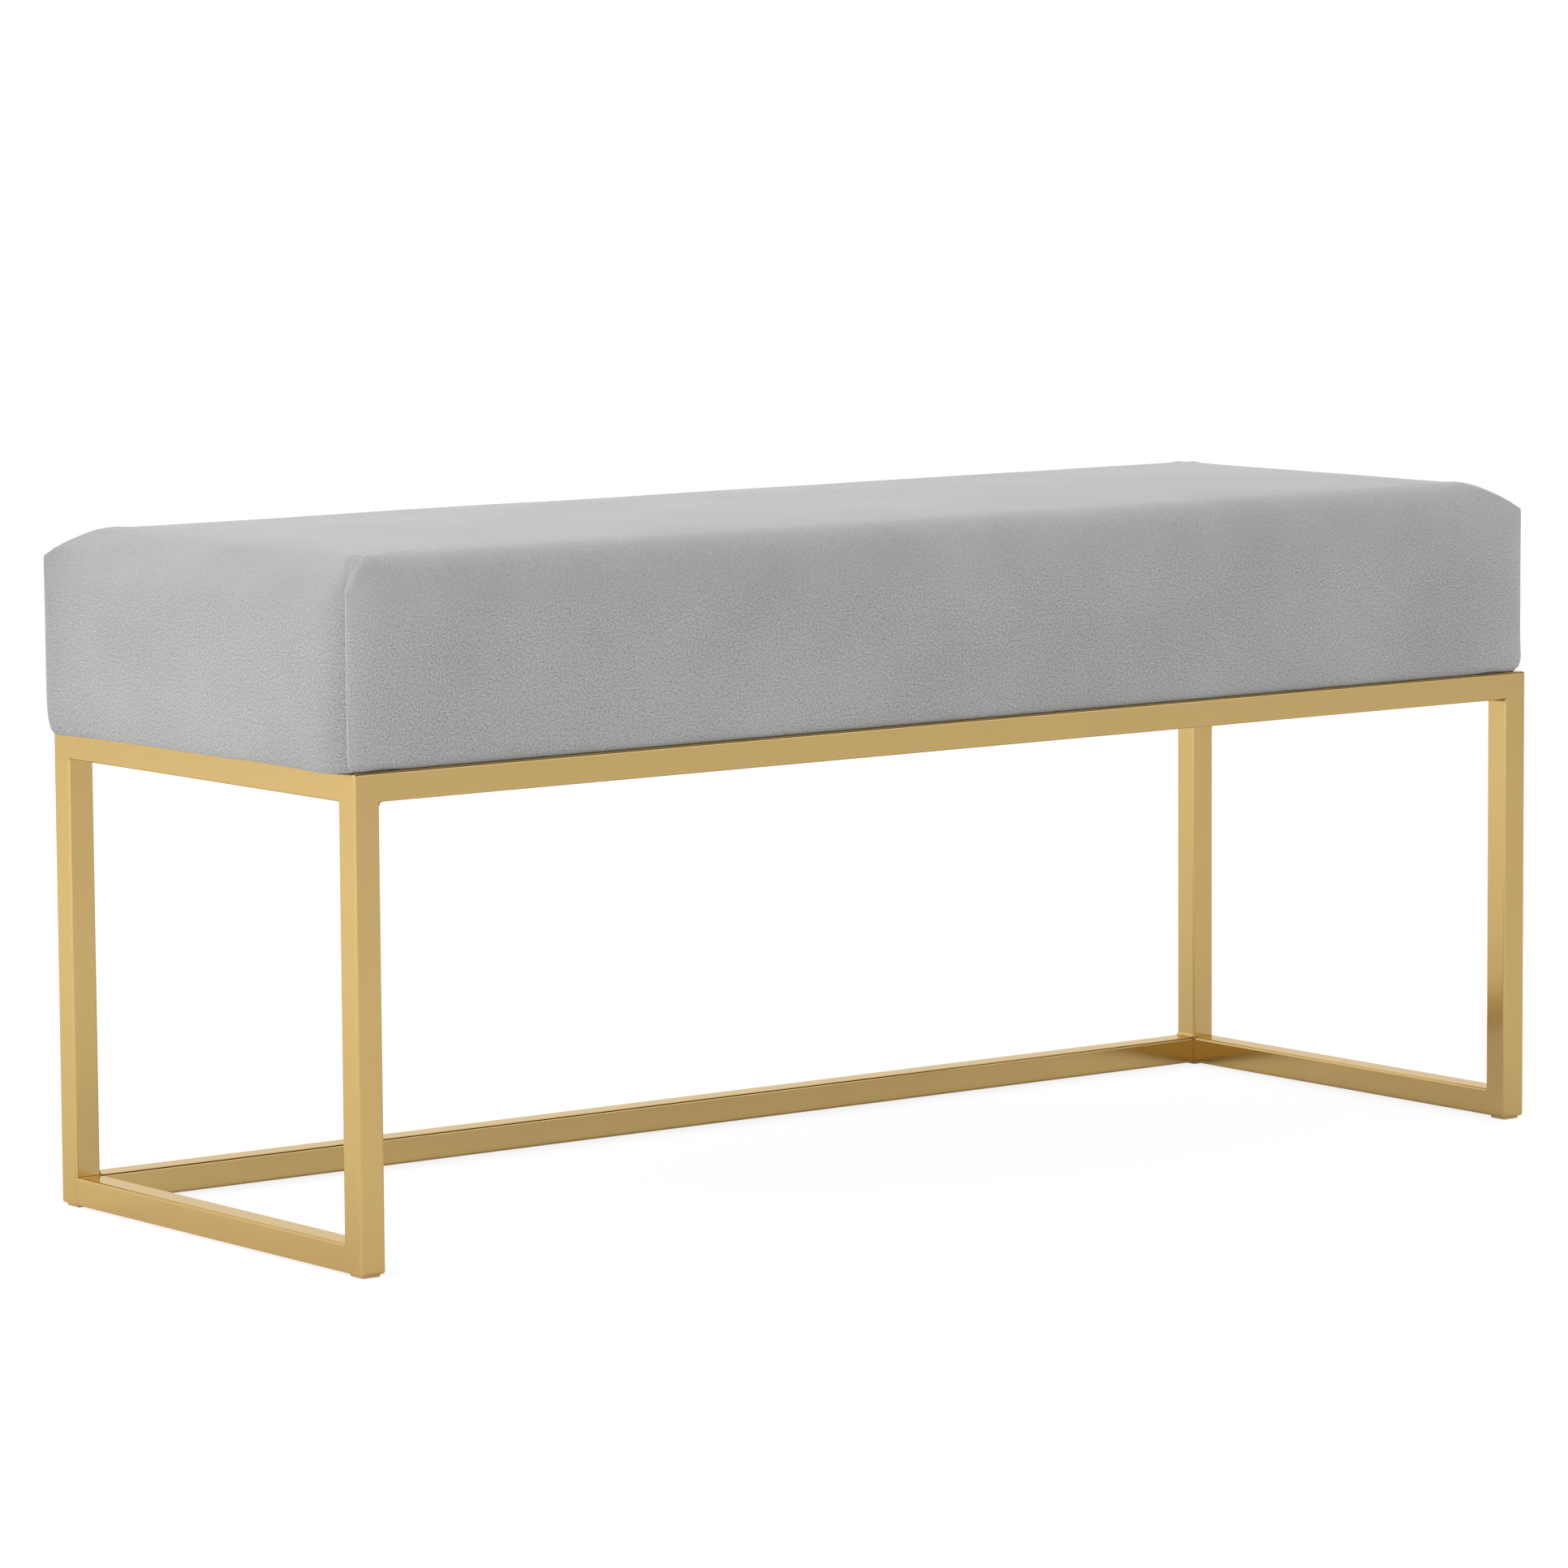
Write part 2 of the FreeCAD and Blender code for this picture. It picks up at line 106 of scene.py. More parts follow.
# Cloth simulation: a slightly smaller sewn form swells over its filling, which holds every point a little
settle_spacing = 9 * MM
settle_frames = 20
settle_hold = 0.2
settle_side_inset = 1.2 * MM
settle_top_inset = 0.6 * MM
settle_most = 4.5 * MM
settle_cloth = {"quality": 6, "mass": 0.3, "tension_stiffness": 30, "compression_stiffness": 30,
                "shear_stiffness": 12, "bending_stiffness": 2, "use_pressure": True,
                "uniform_pressure_force": 4.0, "vertex_group_mass": "held"}

# Corner seam: a fine groove at the stitches, which fades above the seam's point
seam_groove_depth = 0.3 * MM
seam_groove_width = 1.2 * MM
seam_fade_drop = corner_drop * 0.7

# Inner layers of the pad
ply_thickness = 3 * MM
ply_shade = 0.35
ply_waver = 0.6
wadding_inset = 3.5 * MM
wadding_thickness = 6 * MM
foam_inset = 10.5 * MM
layer_spacing = 14 * MM
layer_gap = 0.2 * MM

# Droop of the lower fold along the left end, from back to front: share of the way and depth
left_droop = ((0.0, 4.3), (0.06, 3.6), (0.16, 2.6), (0.35, 2.2), (0.55, 2.1), (0.76, 1.4), (0.88, 2.5),
              (0.93, 2.2), (0.965, 0.4), (1.0, 0.0))
# Lift of the lower fold off the front rail beside the corners: distance from the corner and height
front_lift = ((0.0, 0.3), (14.0, 0.0), (20.0, 0.5), (28.0, 1.3), (37.0, 0.9), (46.0, 0.0))
end_fold_reach = 12 * MM
end_fold_inset = tuck_in + fold_radius + 0.2 * MM

# Hand-smoothed unevenness of the stuffed cloth
swell_size = 0.16
swell_height = 0.5 * MM
small_swell = 0.35
pucker_spacing = 0.043
pucker_height = 0.35 * MM
pucker_reach = 18 * MM
pull_fold_height = 0.7 * MM
pull_fold_reach = 70 * MM
pull_fold_count = 5.0
pull_fold_start = 6 * MM
pull_fold_fade = 2.2

# Pile: over this height down from the rounded edge, the quiet grain of the top gives way to the streaked
# grain of the sides
nap_edge = 58 * MM
nap_edge_from = 0.5 * MM
nap_top_grain = 0.35

# Painted shade on the ends and painted light on the long sides, beside the corner seams: the velvet's
# colour is darkened and lightened there in place of the corner's turn
end_painted_shade_reach = 45 * MM
long_painted_light_reach = 20 * MM
long_painted_light = 0.85

# Dust cover: mesh, slack and the holes that the screws pass
dust_spacing = 6 * MM
dust_sag = 1.1 * MM
dust_ripple = 0.45
dust_ripples_x = 9
dust_ripples_y = 22
dust_free_half = 0.125
screw_hole_reach = 5.5 * MM

# Staples of the dust cover
staple_spacing = 32 * MM
staple_width = 10 * MM
staple_wire = 0.7 * MM
staple_edge = 6 * MM
tab_clear = 24 * MM

# Thread in the corner seams
thread_radius = 0.34 * MM
thread_sink = 0.1 * MM
thread_sides = 6
thread_from = 3 * MM
thread_past_point = 2 * MM

# Weld beads of the seat tabs
bead_length = 24 * MM
bead_radius = 1.9 * MM
bead_ripple = 0.25 * MM
bead_ripple_spacing = 2.2 * MM
bead_steps = 60
bead_sides = 12
bead_least = 0.3 * MM

# Soft lamps: name, place, size and watts
soft_lamps = (("softbox_left", (-3.3, 0.9, 2.0), (2.2, 1.8), 50),
              ("softbox_front", (2.4, -4.0, 2.0), (3.0, 2.0), 13),
              ("strip_front_left", (-3.4, -2.7, 1.0), (0.4, 2.0), 20))
lamp_aim = (0, 0, 0.35)

# Light: levels of the white room and of the floor, as the camera and as gloss see them
world_level = 0.9
gloss_slope = (-0.09, 0.12, 0.0)
gloss_dark_level = 0.65
gloss_dark_from = 0.25
gloss_dark_to = 0.86
gloss_dark_fade = 0.3
gloss_dark_rim = 0.1
floor_size = 40.0
floor_level = -0.05 * MM
floor_colour = (0.8, 0.8, 0.8, 1)
floor_glow = 0.85
floor_shadow_share = 0.22
floor_gloss_glow = 0.12
floor_gloss_share = 0.77
floor_gloss_slope = (-0.018, 0.024, 0.0)
floor_gloss_most = 0.1

# Levels and sizes that come from the frame
pad_low, pad_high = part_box("velvet_cover")
dust_low, dust_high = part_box("dust_cover")
pad_half_x = (pad_high.x - pad_low.x) / 2
pad_half_y = (pad_high.y - pad_low.y) / 2
pad_bottom = pad_low.z
pad_rim = pad_high.z - crown
rim_height = pad_rim - pad_bottom
board_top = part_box("seat_board")[1].z


def smooth_step(value):
    """Eased share between 0 and 1."""
    share = np.clip(value, 0.0, 1.0)
    return share * share * (3 - 2 * share)


def new_mesh(name, points, faces, edges=()):
    """Mesh made from points and faces, or from points and edges."""
    mesh = bpy.data.meshes.new(name)
    mesh.from_pydata(points, edges, faces)
    return mesh


def new_object(name, data):
    """Object made from a mesh, a lamp or a camera, placed in the scene."""
    made = bpy.data.objects.new(name, data)
    bpy.context.scene.collection.objects.link(made)
    return made


def side_positions(half_length, spacing):
    """Places along a pad side as shares of its half length, closer together towards the corner seams."""
    near = [0.0] + [step * MM for step in seam_spacing] if spacing == cloth_spacing else [0.0]
    free = 2 * (half_length - near[-1])
    count = max(2, round(free / spacing))
    middle = np.linspace(near[-1], near[-1] + free, count + 1)
    from_corner = np.concatenate([near[:-1], middle, 2 * half_length - np.array(near[:-1][::-1])])
    return from_corner / half_length - 1


def corner_inset(fall):
    """Inset of the corner's seam at a fall below the pad's rim; below its point the seam is upright."""
    if fall >= corner_drop:
        return corner_pull
    return corner_pull + corner_reach * (1 - (fall / corner_drop) ** corner_sharpness)


def cloth_stations(spacing):
    """Stations of the cloth from its cut edge under the board up to the rounded edge's top.

    Each is (height over the frame, inset of the sides, inset of the corners, length along the cloth).
    """
    under = [(0.0, inset) for inset in
             np.linspace(turn_under, tuck_in + fold_radius + fold_clear, turn_under_rows)]
    fold = [(fold_radius * (1 - math.sin(angle)), tuck_in + fold_radius * (1 - math.cos(angle)))
            for angle in np.radians(fold_angles)]
    tuck = [(height, tuck_in * (1 - height / tuck_height) ** 2)
            for height in np.linspace(tuck_start, tuck_height, tuck_rows)]
    side_top = rim_height - edge_drop
    count = round((side_top - tuck_height) / spacing)
    upright = [(height, 0.0) for height in np.linspace(tuck_height, side_top, count + 1)[1:]]
    places = [(height, inset, inset + corner_pull) for height, inset in under + fold + tuck + upright]
    angles = list(np.radians(np.linspace(0, 90, 3 + round(edge_arc / spacing))[1:]))
    point_angle = math.asin(1 - corner_drop / edge_drop)
    nearest = min(range(len(angles)), key=lambda index: abs(angles[index] - point_angle))
    angles[nearest] = point_angle
    for angle in angles:
        fall = edge_drop * (1 - math.sin(angle))
        places.append((rim_height - fall, edge_reach * (1 - math.cos(angle)), corner_inset(fall)))
    lengths = [0.0]
    for one, other in zip(places, places[1:]):
        lengths.append(lengths[-1] + math.hypot(other[0] - one[0], other[1] - one[1]))
    return [place + (length,) for place, length in zip(places, lengths)]


def side_ring(stations, shares_x, shares_y, inset, top_inset):
    """Points of the pad's sides as an array of rows by columns, once round from the front left corner."""
    half_x = pad_half_x - inset
    half_y = pad_half_y - inset
    turns = ((1, 0, shares_x, half_x, half_y), (0, 1, shares_y, half_y, half_x),
             (-1, 0, shares_x, half_x, half_y), (0, -1, shares_y, half_y, half_x))
    rows = []
    for height, side_inset, seam_inset, _ in stations:
        z = pad_bottom + height - top_inset * smooth_step(height / rim_height * 2 - 1)
        row = []
        for along_x, along_y, shares, half_long, half_wide in turns:
            along = shares[:-1] * (half_long - seam_inset)
            from_corner = (half_long - seam_inset) - np.abs(along)
            drawn = (1 - np.clip(from_corner / corner_run, 0, 1)) ** 2
            turned = corner_turn * (np.exp(-from_corner / corner_turn_reach) - drawn)
            out = half_wide - (side_inset + (seam_inset - side_inset) * drawn + turned)
            x = along * along_x + out * along_y
            y = along * along_y - out * along_x
            row.append(np.stack([x, y, np.full_like(x, z)], axis=1))
        rows.append(softened_corners(np.concatenate(row), rim_height - height))
    return np.array(rows)


def softened_corners(row, fall):
    """A row of the sides with its corners rounded: not at the seam's point, and most at the top."""
    share = smooth_step(1 + (corner_softness_below - fall) / corner_drop)
    softness = corner_softness * float(share)
    if softness < corner_softness_least:
        return row
    steps = np.linalg.norm(np.roll(row, -1, axis=0) - row, axis=1)
    places = np.concatenate([[0.0], np.cumsum(steps)[:-1]])
    apart = np.abs(places[:, None] - places[None, :])
    apart = np.minimum(apart, steps.sum() - apart)
    weights = np.exp(-(apart / softness) ** 2 / 2) * ((steps + np.roll(steps, 1)) / 2)[None, :]
    return weights @ row / weights.sum(axis=1, keepdims=True)


def panel_edges(ring_row, count_x, count_y):
    """The four edges of a panel inside one closed row of the sides: front, right, back and left."""
    front = ring_row[:count_x + 1]
    right = ring_row[count_x:count_x + count_y + 1]
    back = ring_row[count_x + count_y:2 * count_x + count_y + 1][::-1]
    left = np.concatenate([ring_row[2 * count_x + count_y:], ring_row[:1]])[::-1]
    return front, right, back, left


def framed_grid(ring_row, inner):
    """Grid of Y rows by X columns: inner values, framed by one closed row of the sides."""
    grid = np.empty((inner.shape[0] + 2, inner.shape[1] + 2) + inner.shape[2:], inner.dtype)
    grid[1:-1, 1:-1] = inner
    front, right, back, left = panel_edges(ring_row, inner.shape[1] + 1, inner.shape[0] + 1)
    grid[0], grid[:, -1], grid[-1], grid[:, 0] = front, right, back, left
    return grid


def crowned_panel(ring_row, count_x, count_y, rise):
    """Points that fill one closed row of the sides, as a grid of Y rows by X columns, raised to a crown."""
    front, right, back, left = panel_edges(ring_row, count_x, count_y)
    share_x = ((front[:, 0] - front[0, 0]) / (front[-1, 0] - front[0, 0]))[None, :, None]
    share_y = ((left[:, 1] - left[0, 1]) / (left[-1, 1] - left[0, 1]))[:, None, None]
    across = left[:, None] * (1 - share_x) + right[:, None] * share_x
    along = front[None, :] * (1 - share_y) + back[None, :] * share_y
    low = front[0] * (1 - share_x) + front[-1] * share_x
    high = back[0] * (1 - share_x) + back[-1] * share_x
    panel = across + along - (low * (1 - share_y) + high * share_y)
    hump_x = 1 - (2 * share_x[..., 0] - 1) ** crown_flatness_x
    hump_y = 1 - (2 * share_y[..., 0] - 1) ** crown_flatness_y
    panel[:, :, 2] += rise * hump_x * hump_y
    return panel


def grid_quads(rows, columns):
    """Quads of a grid, each as the (row, column) pairs of its corners, turning to the left."""
    return [((row, column), (row, column + 1), (row + 1, column + 1), (row + 1, column))
            for row in range(rows) for column in range(columns)]


class PadForm:
    """Sewn form of the pad: a ring of sides and a top panel that share one row of points."""

    def __init__(self, spacing, inset, top_inset):
        self.shares_x = side_positions(pad_half_x, spacing)
        self.shares_y = side_positions(pad_half_y, spacing)
        self.stations = cloth_stations(spacing)
        self.ring = side_ring(self.stations, self.shares_x, self.shares_y, inset, top_inset)
        self.count_x = len(self.shares_x) - 1
        self.count_y = len(self.shares_y) - 1
        self.top = crowned_panel(self.ring[-1], self.count_x, self.count_y, crown)

    def ring_index(self, row, column):
        """Number of a point of the sides."""
        columns = self.ring.shape[1]
        return row * columns + column % columns

    def panel_faces(self, edge_row, first_inner, facing):
        """Quads of the top panel (facing 1) or a bottom panel (facing -1), joined to a row of the sides."""
        rows, columns = self.count_y - 1, self.count_x - 1
        inner = first_inner + np.arange(rows * columns).reshape(rows, columns)
        ring_columns = self.ring.shape[1]
        numbers = framed_grid(edge_row * ring_columns + np.arange(ring_columns), inner).tolist()
        return [[numbers[row][column] for row, column in quad][::facing]
                for quad in grid_quads(self.count_y, self.count_x)]

    def points(self):
        """All points of the sides and the top as one array."""
        return np.concatenate([self.ring.reshape(-1, 3), self.top[1:-1, 1:-1].reshape(-1, 3)])

    def mesh(self, name, closed):
        """Mesh of the form, with a flat bottom panel where it is closed."""
        rows, columns = self.ring.shape[:2]
        points = self.points()
        faces = [[self.ring_index(*corner) for corner in quad] for quad in grid_quads(rows - 1, columns)]
        faces += self.panel_faces(rows - 1, rows * columns, 1)
        if closed:
            bottom = crowned_panel(self.ring[0], self.count_x, self.count_y, 0.0)[1:-1, 1:-1]
            faces += self.panel_faces(0, len(points), -1)
            points = np.concatenate([points, bottom.reshape(-1, 3)])
        return new_mesh(name, points.tolist(), faces)

    def spread(self, other, ring_move, top_move):
        """Moves of another form's points, carried over to this form's points."""
        lengths = np.array([station[3] for station in other.stations])
        rows = np.interp([station[3] for station in self.stations], lengths, np.arange(len(lengths)))
        columns = []
        first = 0
        for shares, theirs in ((self.shares_x, other.shares_x), (self.shares_y, other.shares_y)) * 2:
            columns.append(first + np.interp(shares[:-1], theirs, np.arange(len(theirs))))
            first += len(theirs) - 1
        closed_move = np.concatenate([ring_move[:, -1:], ring_move, ring_move[:, :2]], axis=1)
        ring = cubic_rows(closed_move.swapaxes(0, 1), np.concatenate(columns) + 1).swapaxes(0, 1)
        ring = cubic_rows(ring, rows)
        top_rows = np.interp(self.shares_y, other.shares_y, np.arange(len(other.shares_y)))
        top_columns = np.interp(self.shares_x, other.shares_x, np.arange(len(other.shares_x)))
        top = cubic_rows(cubic_rows(top_move, top_rows).swapaxes(0, 1), top_columns).swapaxes(0, 1)
        return ring, top


def cubic_rows(values, places):
    """Values read between an array's rows with a smooth cubic."""
    last = len(values) - 1
    base = np.clip(np.floor(places).astype(int), 0, last - 1)
    share = (places - base).reshape((-1,) + (1,) * (values.ndim - 1))
    before, start, end, after = (values[np.clip(base + step, 0, last)] for step in (-1, 0, 1, 2))
    slope_in = (end - before) / 2
    slope_out = (after - start) / 2
    square = share * share
    cube = square * share
    return ((2 * cube - 3 * square + 1) * start + (cube - 2 * square + share) * slope_in
            + (3 * square - 2 * cube) * end + (cube - square) * slope_out)


def settling_cloth(form, start_count):
    """Cloth of the closed form: every point is held a little, and its fold and bottom are held fast."""
    mesh = form.mesh("settling_cloth", closed=True)
    piece = new_object("settling_cloth", mesh)
    held_rows = sum(1 for station in form.stations if station[0] <= fold_radius)
    everywhere = list(range(len(mesh.vertices)))
    held = piece.vertex_groups.new(name="held")
    held.add(everywhere, settle_hold, "REPLACE")
    held.add(everywhere[:held_rows * form.ring.shape[1]] + everywhere[start_count:], 1.0, "REPLACE")
    cloth = piece.modifiers.new("cloth", "CLOTH")
    for label, value in settle_cloth.items():
        setattr(cloth.settings, label, value)
    cloth.settings.effector_weights.gravity = 0
    cloth.point_cache.frame_start = 1
    cloth.point_cache.frame_end = settle_frames
    return piece


def settled_points(piece):
    """Points of a cloth piece after its simulation; the piece is removed."""
    scene = bpy.context.scene
    for number in range(1, settle_frames + 1):
        scene.frame_set(number)
    evaluated = piece.evaluated_get(bpy.context.evaluated_depsgraph_get())
    settled = np.empty(len(piece.data.vertices) * 3)
    evaluated.data.vertices.foreach_get("co", settled)
    scene.frame_set(1)
    bpy.data.objects.remove(piece)
    return settled.reshape(-1, 3)


def settled_moves():
    """Cloth simulation of the sewn form under pressure: the form, and how far its sides and top move."""
    form = PadForm(settle_spacing, settle_side_inset, settle_top_inset)
    start = form.points()
    moves = settled_points(settling_cloth(form, len(start)))[:len(start)] - start
    length = np.linalg.norm(moves, axis=1, keepdims=True)
    moves *= np.minimum(1.0, settle_most / np.maximum(length, 1e-9))
    side_count = form.ring.size // 3
    ring_move = moves[:side_count].reshape(form.ring.shape)
    inner_move = moves[side_count:].reshape(form.count_y - 1, form.count_x - 1, 3)
    return form, ring_move, framed_grid(ring_move[-1], inner_move)


def lower_fold_move(point, height, inset):
    """How far the lower edge of the cloth hangs down over the left end or lifts off the front rail."""
    if height > end_fold_reach or inset > end_fold_inset:
        return 0.0
    fade = 1 - smooth_step(height / end_fold_reach)
    x, y = point[0], point[1]
    if x < -pad_half_x + turn_under / 4:
        share = (pad_half_y - y) / (2 * pad_half_y)
        depths = np.array(left_droop)
        return -fade * float(np.interp(share, depths[:, 0], depths[:, 1])) * MM
    if y < -pad_half_y + turn_under / 4:
        lifts = np.array(front_lift)
        from_corner = (pad_half_x - abs(x)) / MM
        return fade * float(np.interp(from_corner, lifts[:, 0], lifts[:, 1])) * MM
    return 0.0


def unevenness(point, height, from_seam, fall):
    """Height of the small hollows, puckers and pull folds of the cloth at a point."""
    lifted = noise.noise(Vector(point) / swell_size) * swell_height
    lifted += noise.noise(Vector(point) / (swell_size * small_swell)) * swell_height * small_swell
    near_edge = max(0.0, 1 - height / pucker_reach)
    along = point[0] if abs(abs(point[1]) - pad_half_y) < abs(abs(point[0]) - pad_half_x) else point[1]
    lifted += near_edge * pucker_height * math.sin(along / pucker_spacing * 2 * math.pi)
    spread = math.hypot(from_seam, max(0.0, abs(fall - corner_drop)))
    if spread < pull_fold_reach:
        turn = math.atan2(fall - corner_drop, from_seam)
        strength = math.exp(-((spread / pull_fold_reach * pull_fold_fade) ** 2))
        strength *= min(1.0, from_seam / pull_fold_start)
        lifted += pull_fold_height * strength * math.sin(turn * pull_fold_count)
    return lifted


def seam_relief(from_seam):
    """Height of the cloth beside a corner seam, which dips at its stitches."""
    return -seam_groove_depth * math.exp(-((from_seam / seam_groove_width) ** 2))


def point_normals(mesh):
    """Outward direction at every point of a mesh."""
    normals = np.empty(len(mesh.vertices) * 3, np.float32)
    mesh.vertices.foreach_get("normal", normals)
    return normals.reshape(-1, 3).astype(float)


def beside_seams(form):
    """For each column of the sides: how far it is from its corner seam, and its painted shade (ends) or
    painted light (long sides) there.
    """
    sides = ((form.shares_x, pad_half_x), (form.shares_y, pad_half_y)) * 2
    from_seams = np.concatenate([(1 - np.abs(shares[:-1])) * half for shares, half in sides])
    on_long_side = np.arange(len(from_seams)) % (form.count_x + form.count_y) < form.count_x
    painted_shade_lights = np.where(on_long_side, long_painted_light * np.exp(-from_seams / long_painted_light_reach),
                     -np.exp(-from_seams / end_painted_shade_reach))
    return from_seams, painted_shade_lights


def sewn_cover(settled):
    """Velvet cover as sewn and stuffed: settled form, seams, droops and unevenness, as an open skin."""
    insets = ((settle_side_inset, settle_top_inset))
    form = PadForm(cloth_spacing, *insets)
    ring_move, top_move = form.spread(*settled)
    form.ring = form.ring + ring_move
    form.top = form.top + top_move
    mesh = form.mesh("velvet_cover_sewn", closed=False)
    rows, columns = form.ring.shape[:2]
    normals = point_normals(mesh)
    points = form.points()
    side_share = np.zeros(len(points))
    seam_painted_shade_light = np.zeros(len(points))
    from_seams, painted_shade_lights = beside_seams(form)
    for row, (height, inset, _, _) in enumerate(form.stations):
        fall = rim_height - height
        for column, (from_seam, painted_shade_light) in enumerate(zip(from_seams, painted_shade_lights)):
            index = row * columns + column
            seam_share = 1 - smooth_step((corner_drop - fall) / seam_fade_drop)
            lifted = unevenness(points[index], height, from_seam, fall) * min(1.0, height / tuck_height)
            lifted += seam_relief(from_seam) * seam_share
            drop = lower_fold_move(points[index], height, inset)
            points[index] += normals[index] * lifted
            points[index][2] += drop
            side_share[index] = smooth_step((fall - nap_edge_from) / nap_edge)
            # Painted shade on the ends and painted light on the long sides beside the seams, fading above
            # the seam's point
            seam_painted_shade_light[index] = painted_shade_light * seam_share
    for index in range(rows * columns, len(points)):
        points[index] += normals[index] * unevenness(points[index], rim_height, from_seam=1.0, fall=0.0)
    points = shifted(points)
    mesh.vertices.foreach_set("co", points.ravel())
    for name, values in (("side_share", side_share), ("seam_painted_shade_light", seam_painted_shade_light)):
        mesh.attributes.new(name, "FLOAT", "POINT").data.foreach_set("value", values)
    lay_cloth_map(form, mesh)
    return mesh, [points[corner:rows * columns:columns] for corner in seam_columns(form)]


def shifted(points):
    """Points of the pad moved to where it sits in the photograph, its foot a little less."""
    grown = smooth_step((points[..., 2:] - pad_bottom) / shift_grows_over)
    share = shift_at_board + (1 - shift_at_board) * grown
    return points + share * np.array((pad_shift_x, pad_shift_y, 0.0))


def seam_columns(form):
    """Columns of the sides that lie on the four corner seams."""
    return (0, form.count_x, form.count_x + form.count_y, 2 * form.count_x + form.count_y)


def lay_cloth_map(form, mesh):
    """UV map in metres: round the pad and up its sides; the top panel continues it flat."""
    rows, columns = form.ring.shape[:2]
    starts = np.cumsum([0, pad_half_x, pad_half_y, pad_half_x]) * 2
    halves = (pad_half_x, pad_half_y) * 2
    sides = (form.shares_x, form.shares_y) * 2
    round_pad = [start + (share + 1) * half for start, half, shares in zip(starts, halves, sides)
                 for share in shares[:-1]]
    round_pad.append(4 * (pad_half_x + pad_half_y))
    lengths = [station[3] for station in form.stations]
    marks = [(round_pad[column], lengths[row])
             for quad in grid_quads(rows - 1, columns) for row, column in quad]
    across = (form.shares_x + 1) * pad_half_x
    back = lengths[-1] + (form.shares_y + 1) * pad_half_y
    marks += [(across[column], back[row])
              for quad in grid_quads(form.count_y, form.count_x) for row, column in quad]
    mesh.uv_layers.new(name="cloth").data.foreach_set("uv", np.ravel(marks))


def add_piece(name, mesh, material, body="root"):
    """New piece of the bench: smooth, with its material, riding on a body."""
    piece = new_object(name, mesh)
    mesh.materials.clear()
    mesh.materials.append(material)
    mesh.polygons.foreach_set("use_smooth", [True] * len(mesh.polygons))
    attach(piece, body)
    return piece


def baked(piece, name):
    """Plain mesh of a piece with its modifiers taken in."""
    graph = bpy.context.evaluated_depsgraph_get()
    mesh = bpy.data.meshes.new_from_object(piece.evaluated_get(graph))
    mesh.name = name
    return mesh


def connect(tree, *pairs):
    """Links each (from socket, to socket) pair of a node tree."""
    for source, target in pairs:
        tree.links.new(source, target)


def effect_group(name, inputs, outputs):
    """Empty shader effect with named inputs (name, kind, value) and outputs (name, kind)."""
    group = bpy.data.node_groups.new(name, "ShaderNodeTree")
    for label, kind, value in inputs:
        socket = group.interface.new_socket(label, in_out="INPUT", socket_type="NodeSocket" + kind)
        if value is not None:
            socket.default_value = value
    for label, kind in outputs:
        group.interface.new_socket(label, in_out="OUTPUT", socket_type="NodeSocket" + kind)
    return group, group.nodes.new("NodeGroupInput").outputs, group.nodes.new("NodeGroupOutput").inputs


def add_node(tree, kind, values=None):
    """New shader node with some of its inputs set."""
    node = tree.nodes.new("ShaderNode" + kind)
    for label, value in (values or {}).items():
        node.inputs[label].default_value = value
    return node


def scaled_noise(tree, vector, size, detail, roughness=0.5):
    """Noise whose blotches have a size in metres that is read from a socket; returns its value socket."""
    speckle = add_node(tree, "TexNoise", {"Detail": detail, "Roughness": roughness})
    connect(tree, (vector, speckle.inputs["Vector"]),
            (math_node(tree, "DIVIDE", 1.0, size), speckle.inputs["Scale"]))
    return speckle.outputs["Fac"]


def effect_node(tree, group, values):
    """Node of a shader effect with its values set."""
    effect = add_node(tree, "Group")
    effect.node_tree = group
    for label, value in values.items():
        effect.inputs[label].default_value = value
    return effect


def math_node(tree, operation, first, second, third=None):
    """Math node whose inputs are sockets or numbers; returns its value socket."""
    node = add_node(tree, "Math")
    node.operation = operation
    for socket, value in zip(node.inputs, (first, second, third)):
        if isinstance(value, (int, float)):
            socket.default_value = value
        elif value is not None:
            tree.links.new(value, socket)
    return node.outputs[0]


def colour_mix(tree, share, first, second):
    """Mix of two colour sockets by a share socket; returns the colour socket."""
    node = add_node(tree, "Mix")
    node.data_type = "RGBA"
    connect(tree, (share, node.inputs[0]), (first, node.inputs[6]), (second, node.inputs[7]))
    return node.outputs[2]


def kept_as_share(tree, value):
    """A value kept between 0 and 1."""
    clamp = add_node(tree, "Clamp")
    tree.links.new(value, clamp.inputs[0])
    return clamp.outputs[0]


def off_middle(tree, value, times):
    """How far a noise value is from one half, times a socket."""
    return math_node(tree, "MULTIPLY", math_node(tree, "SUBTRACT", value, 0.5), times)


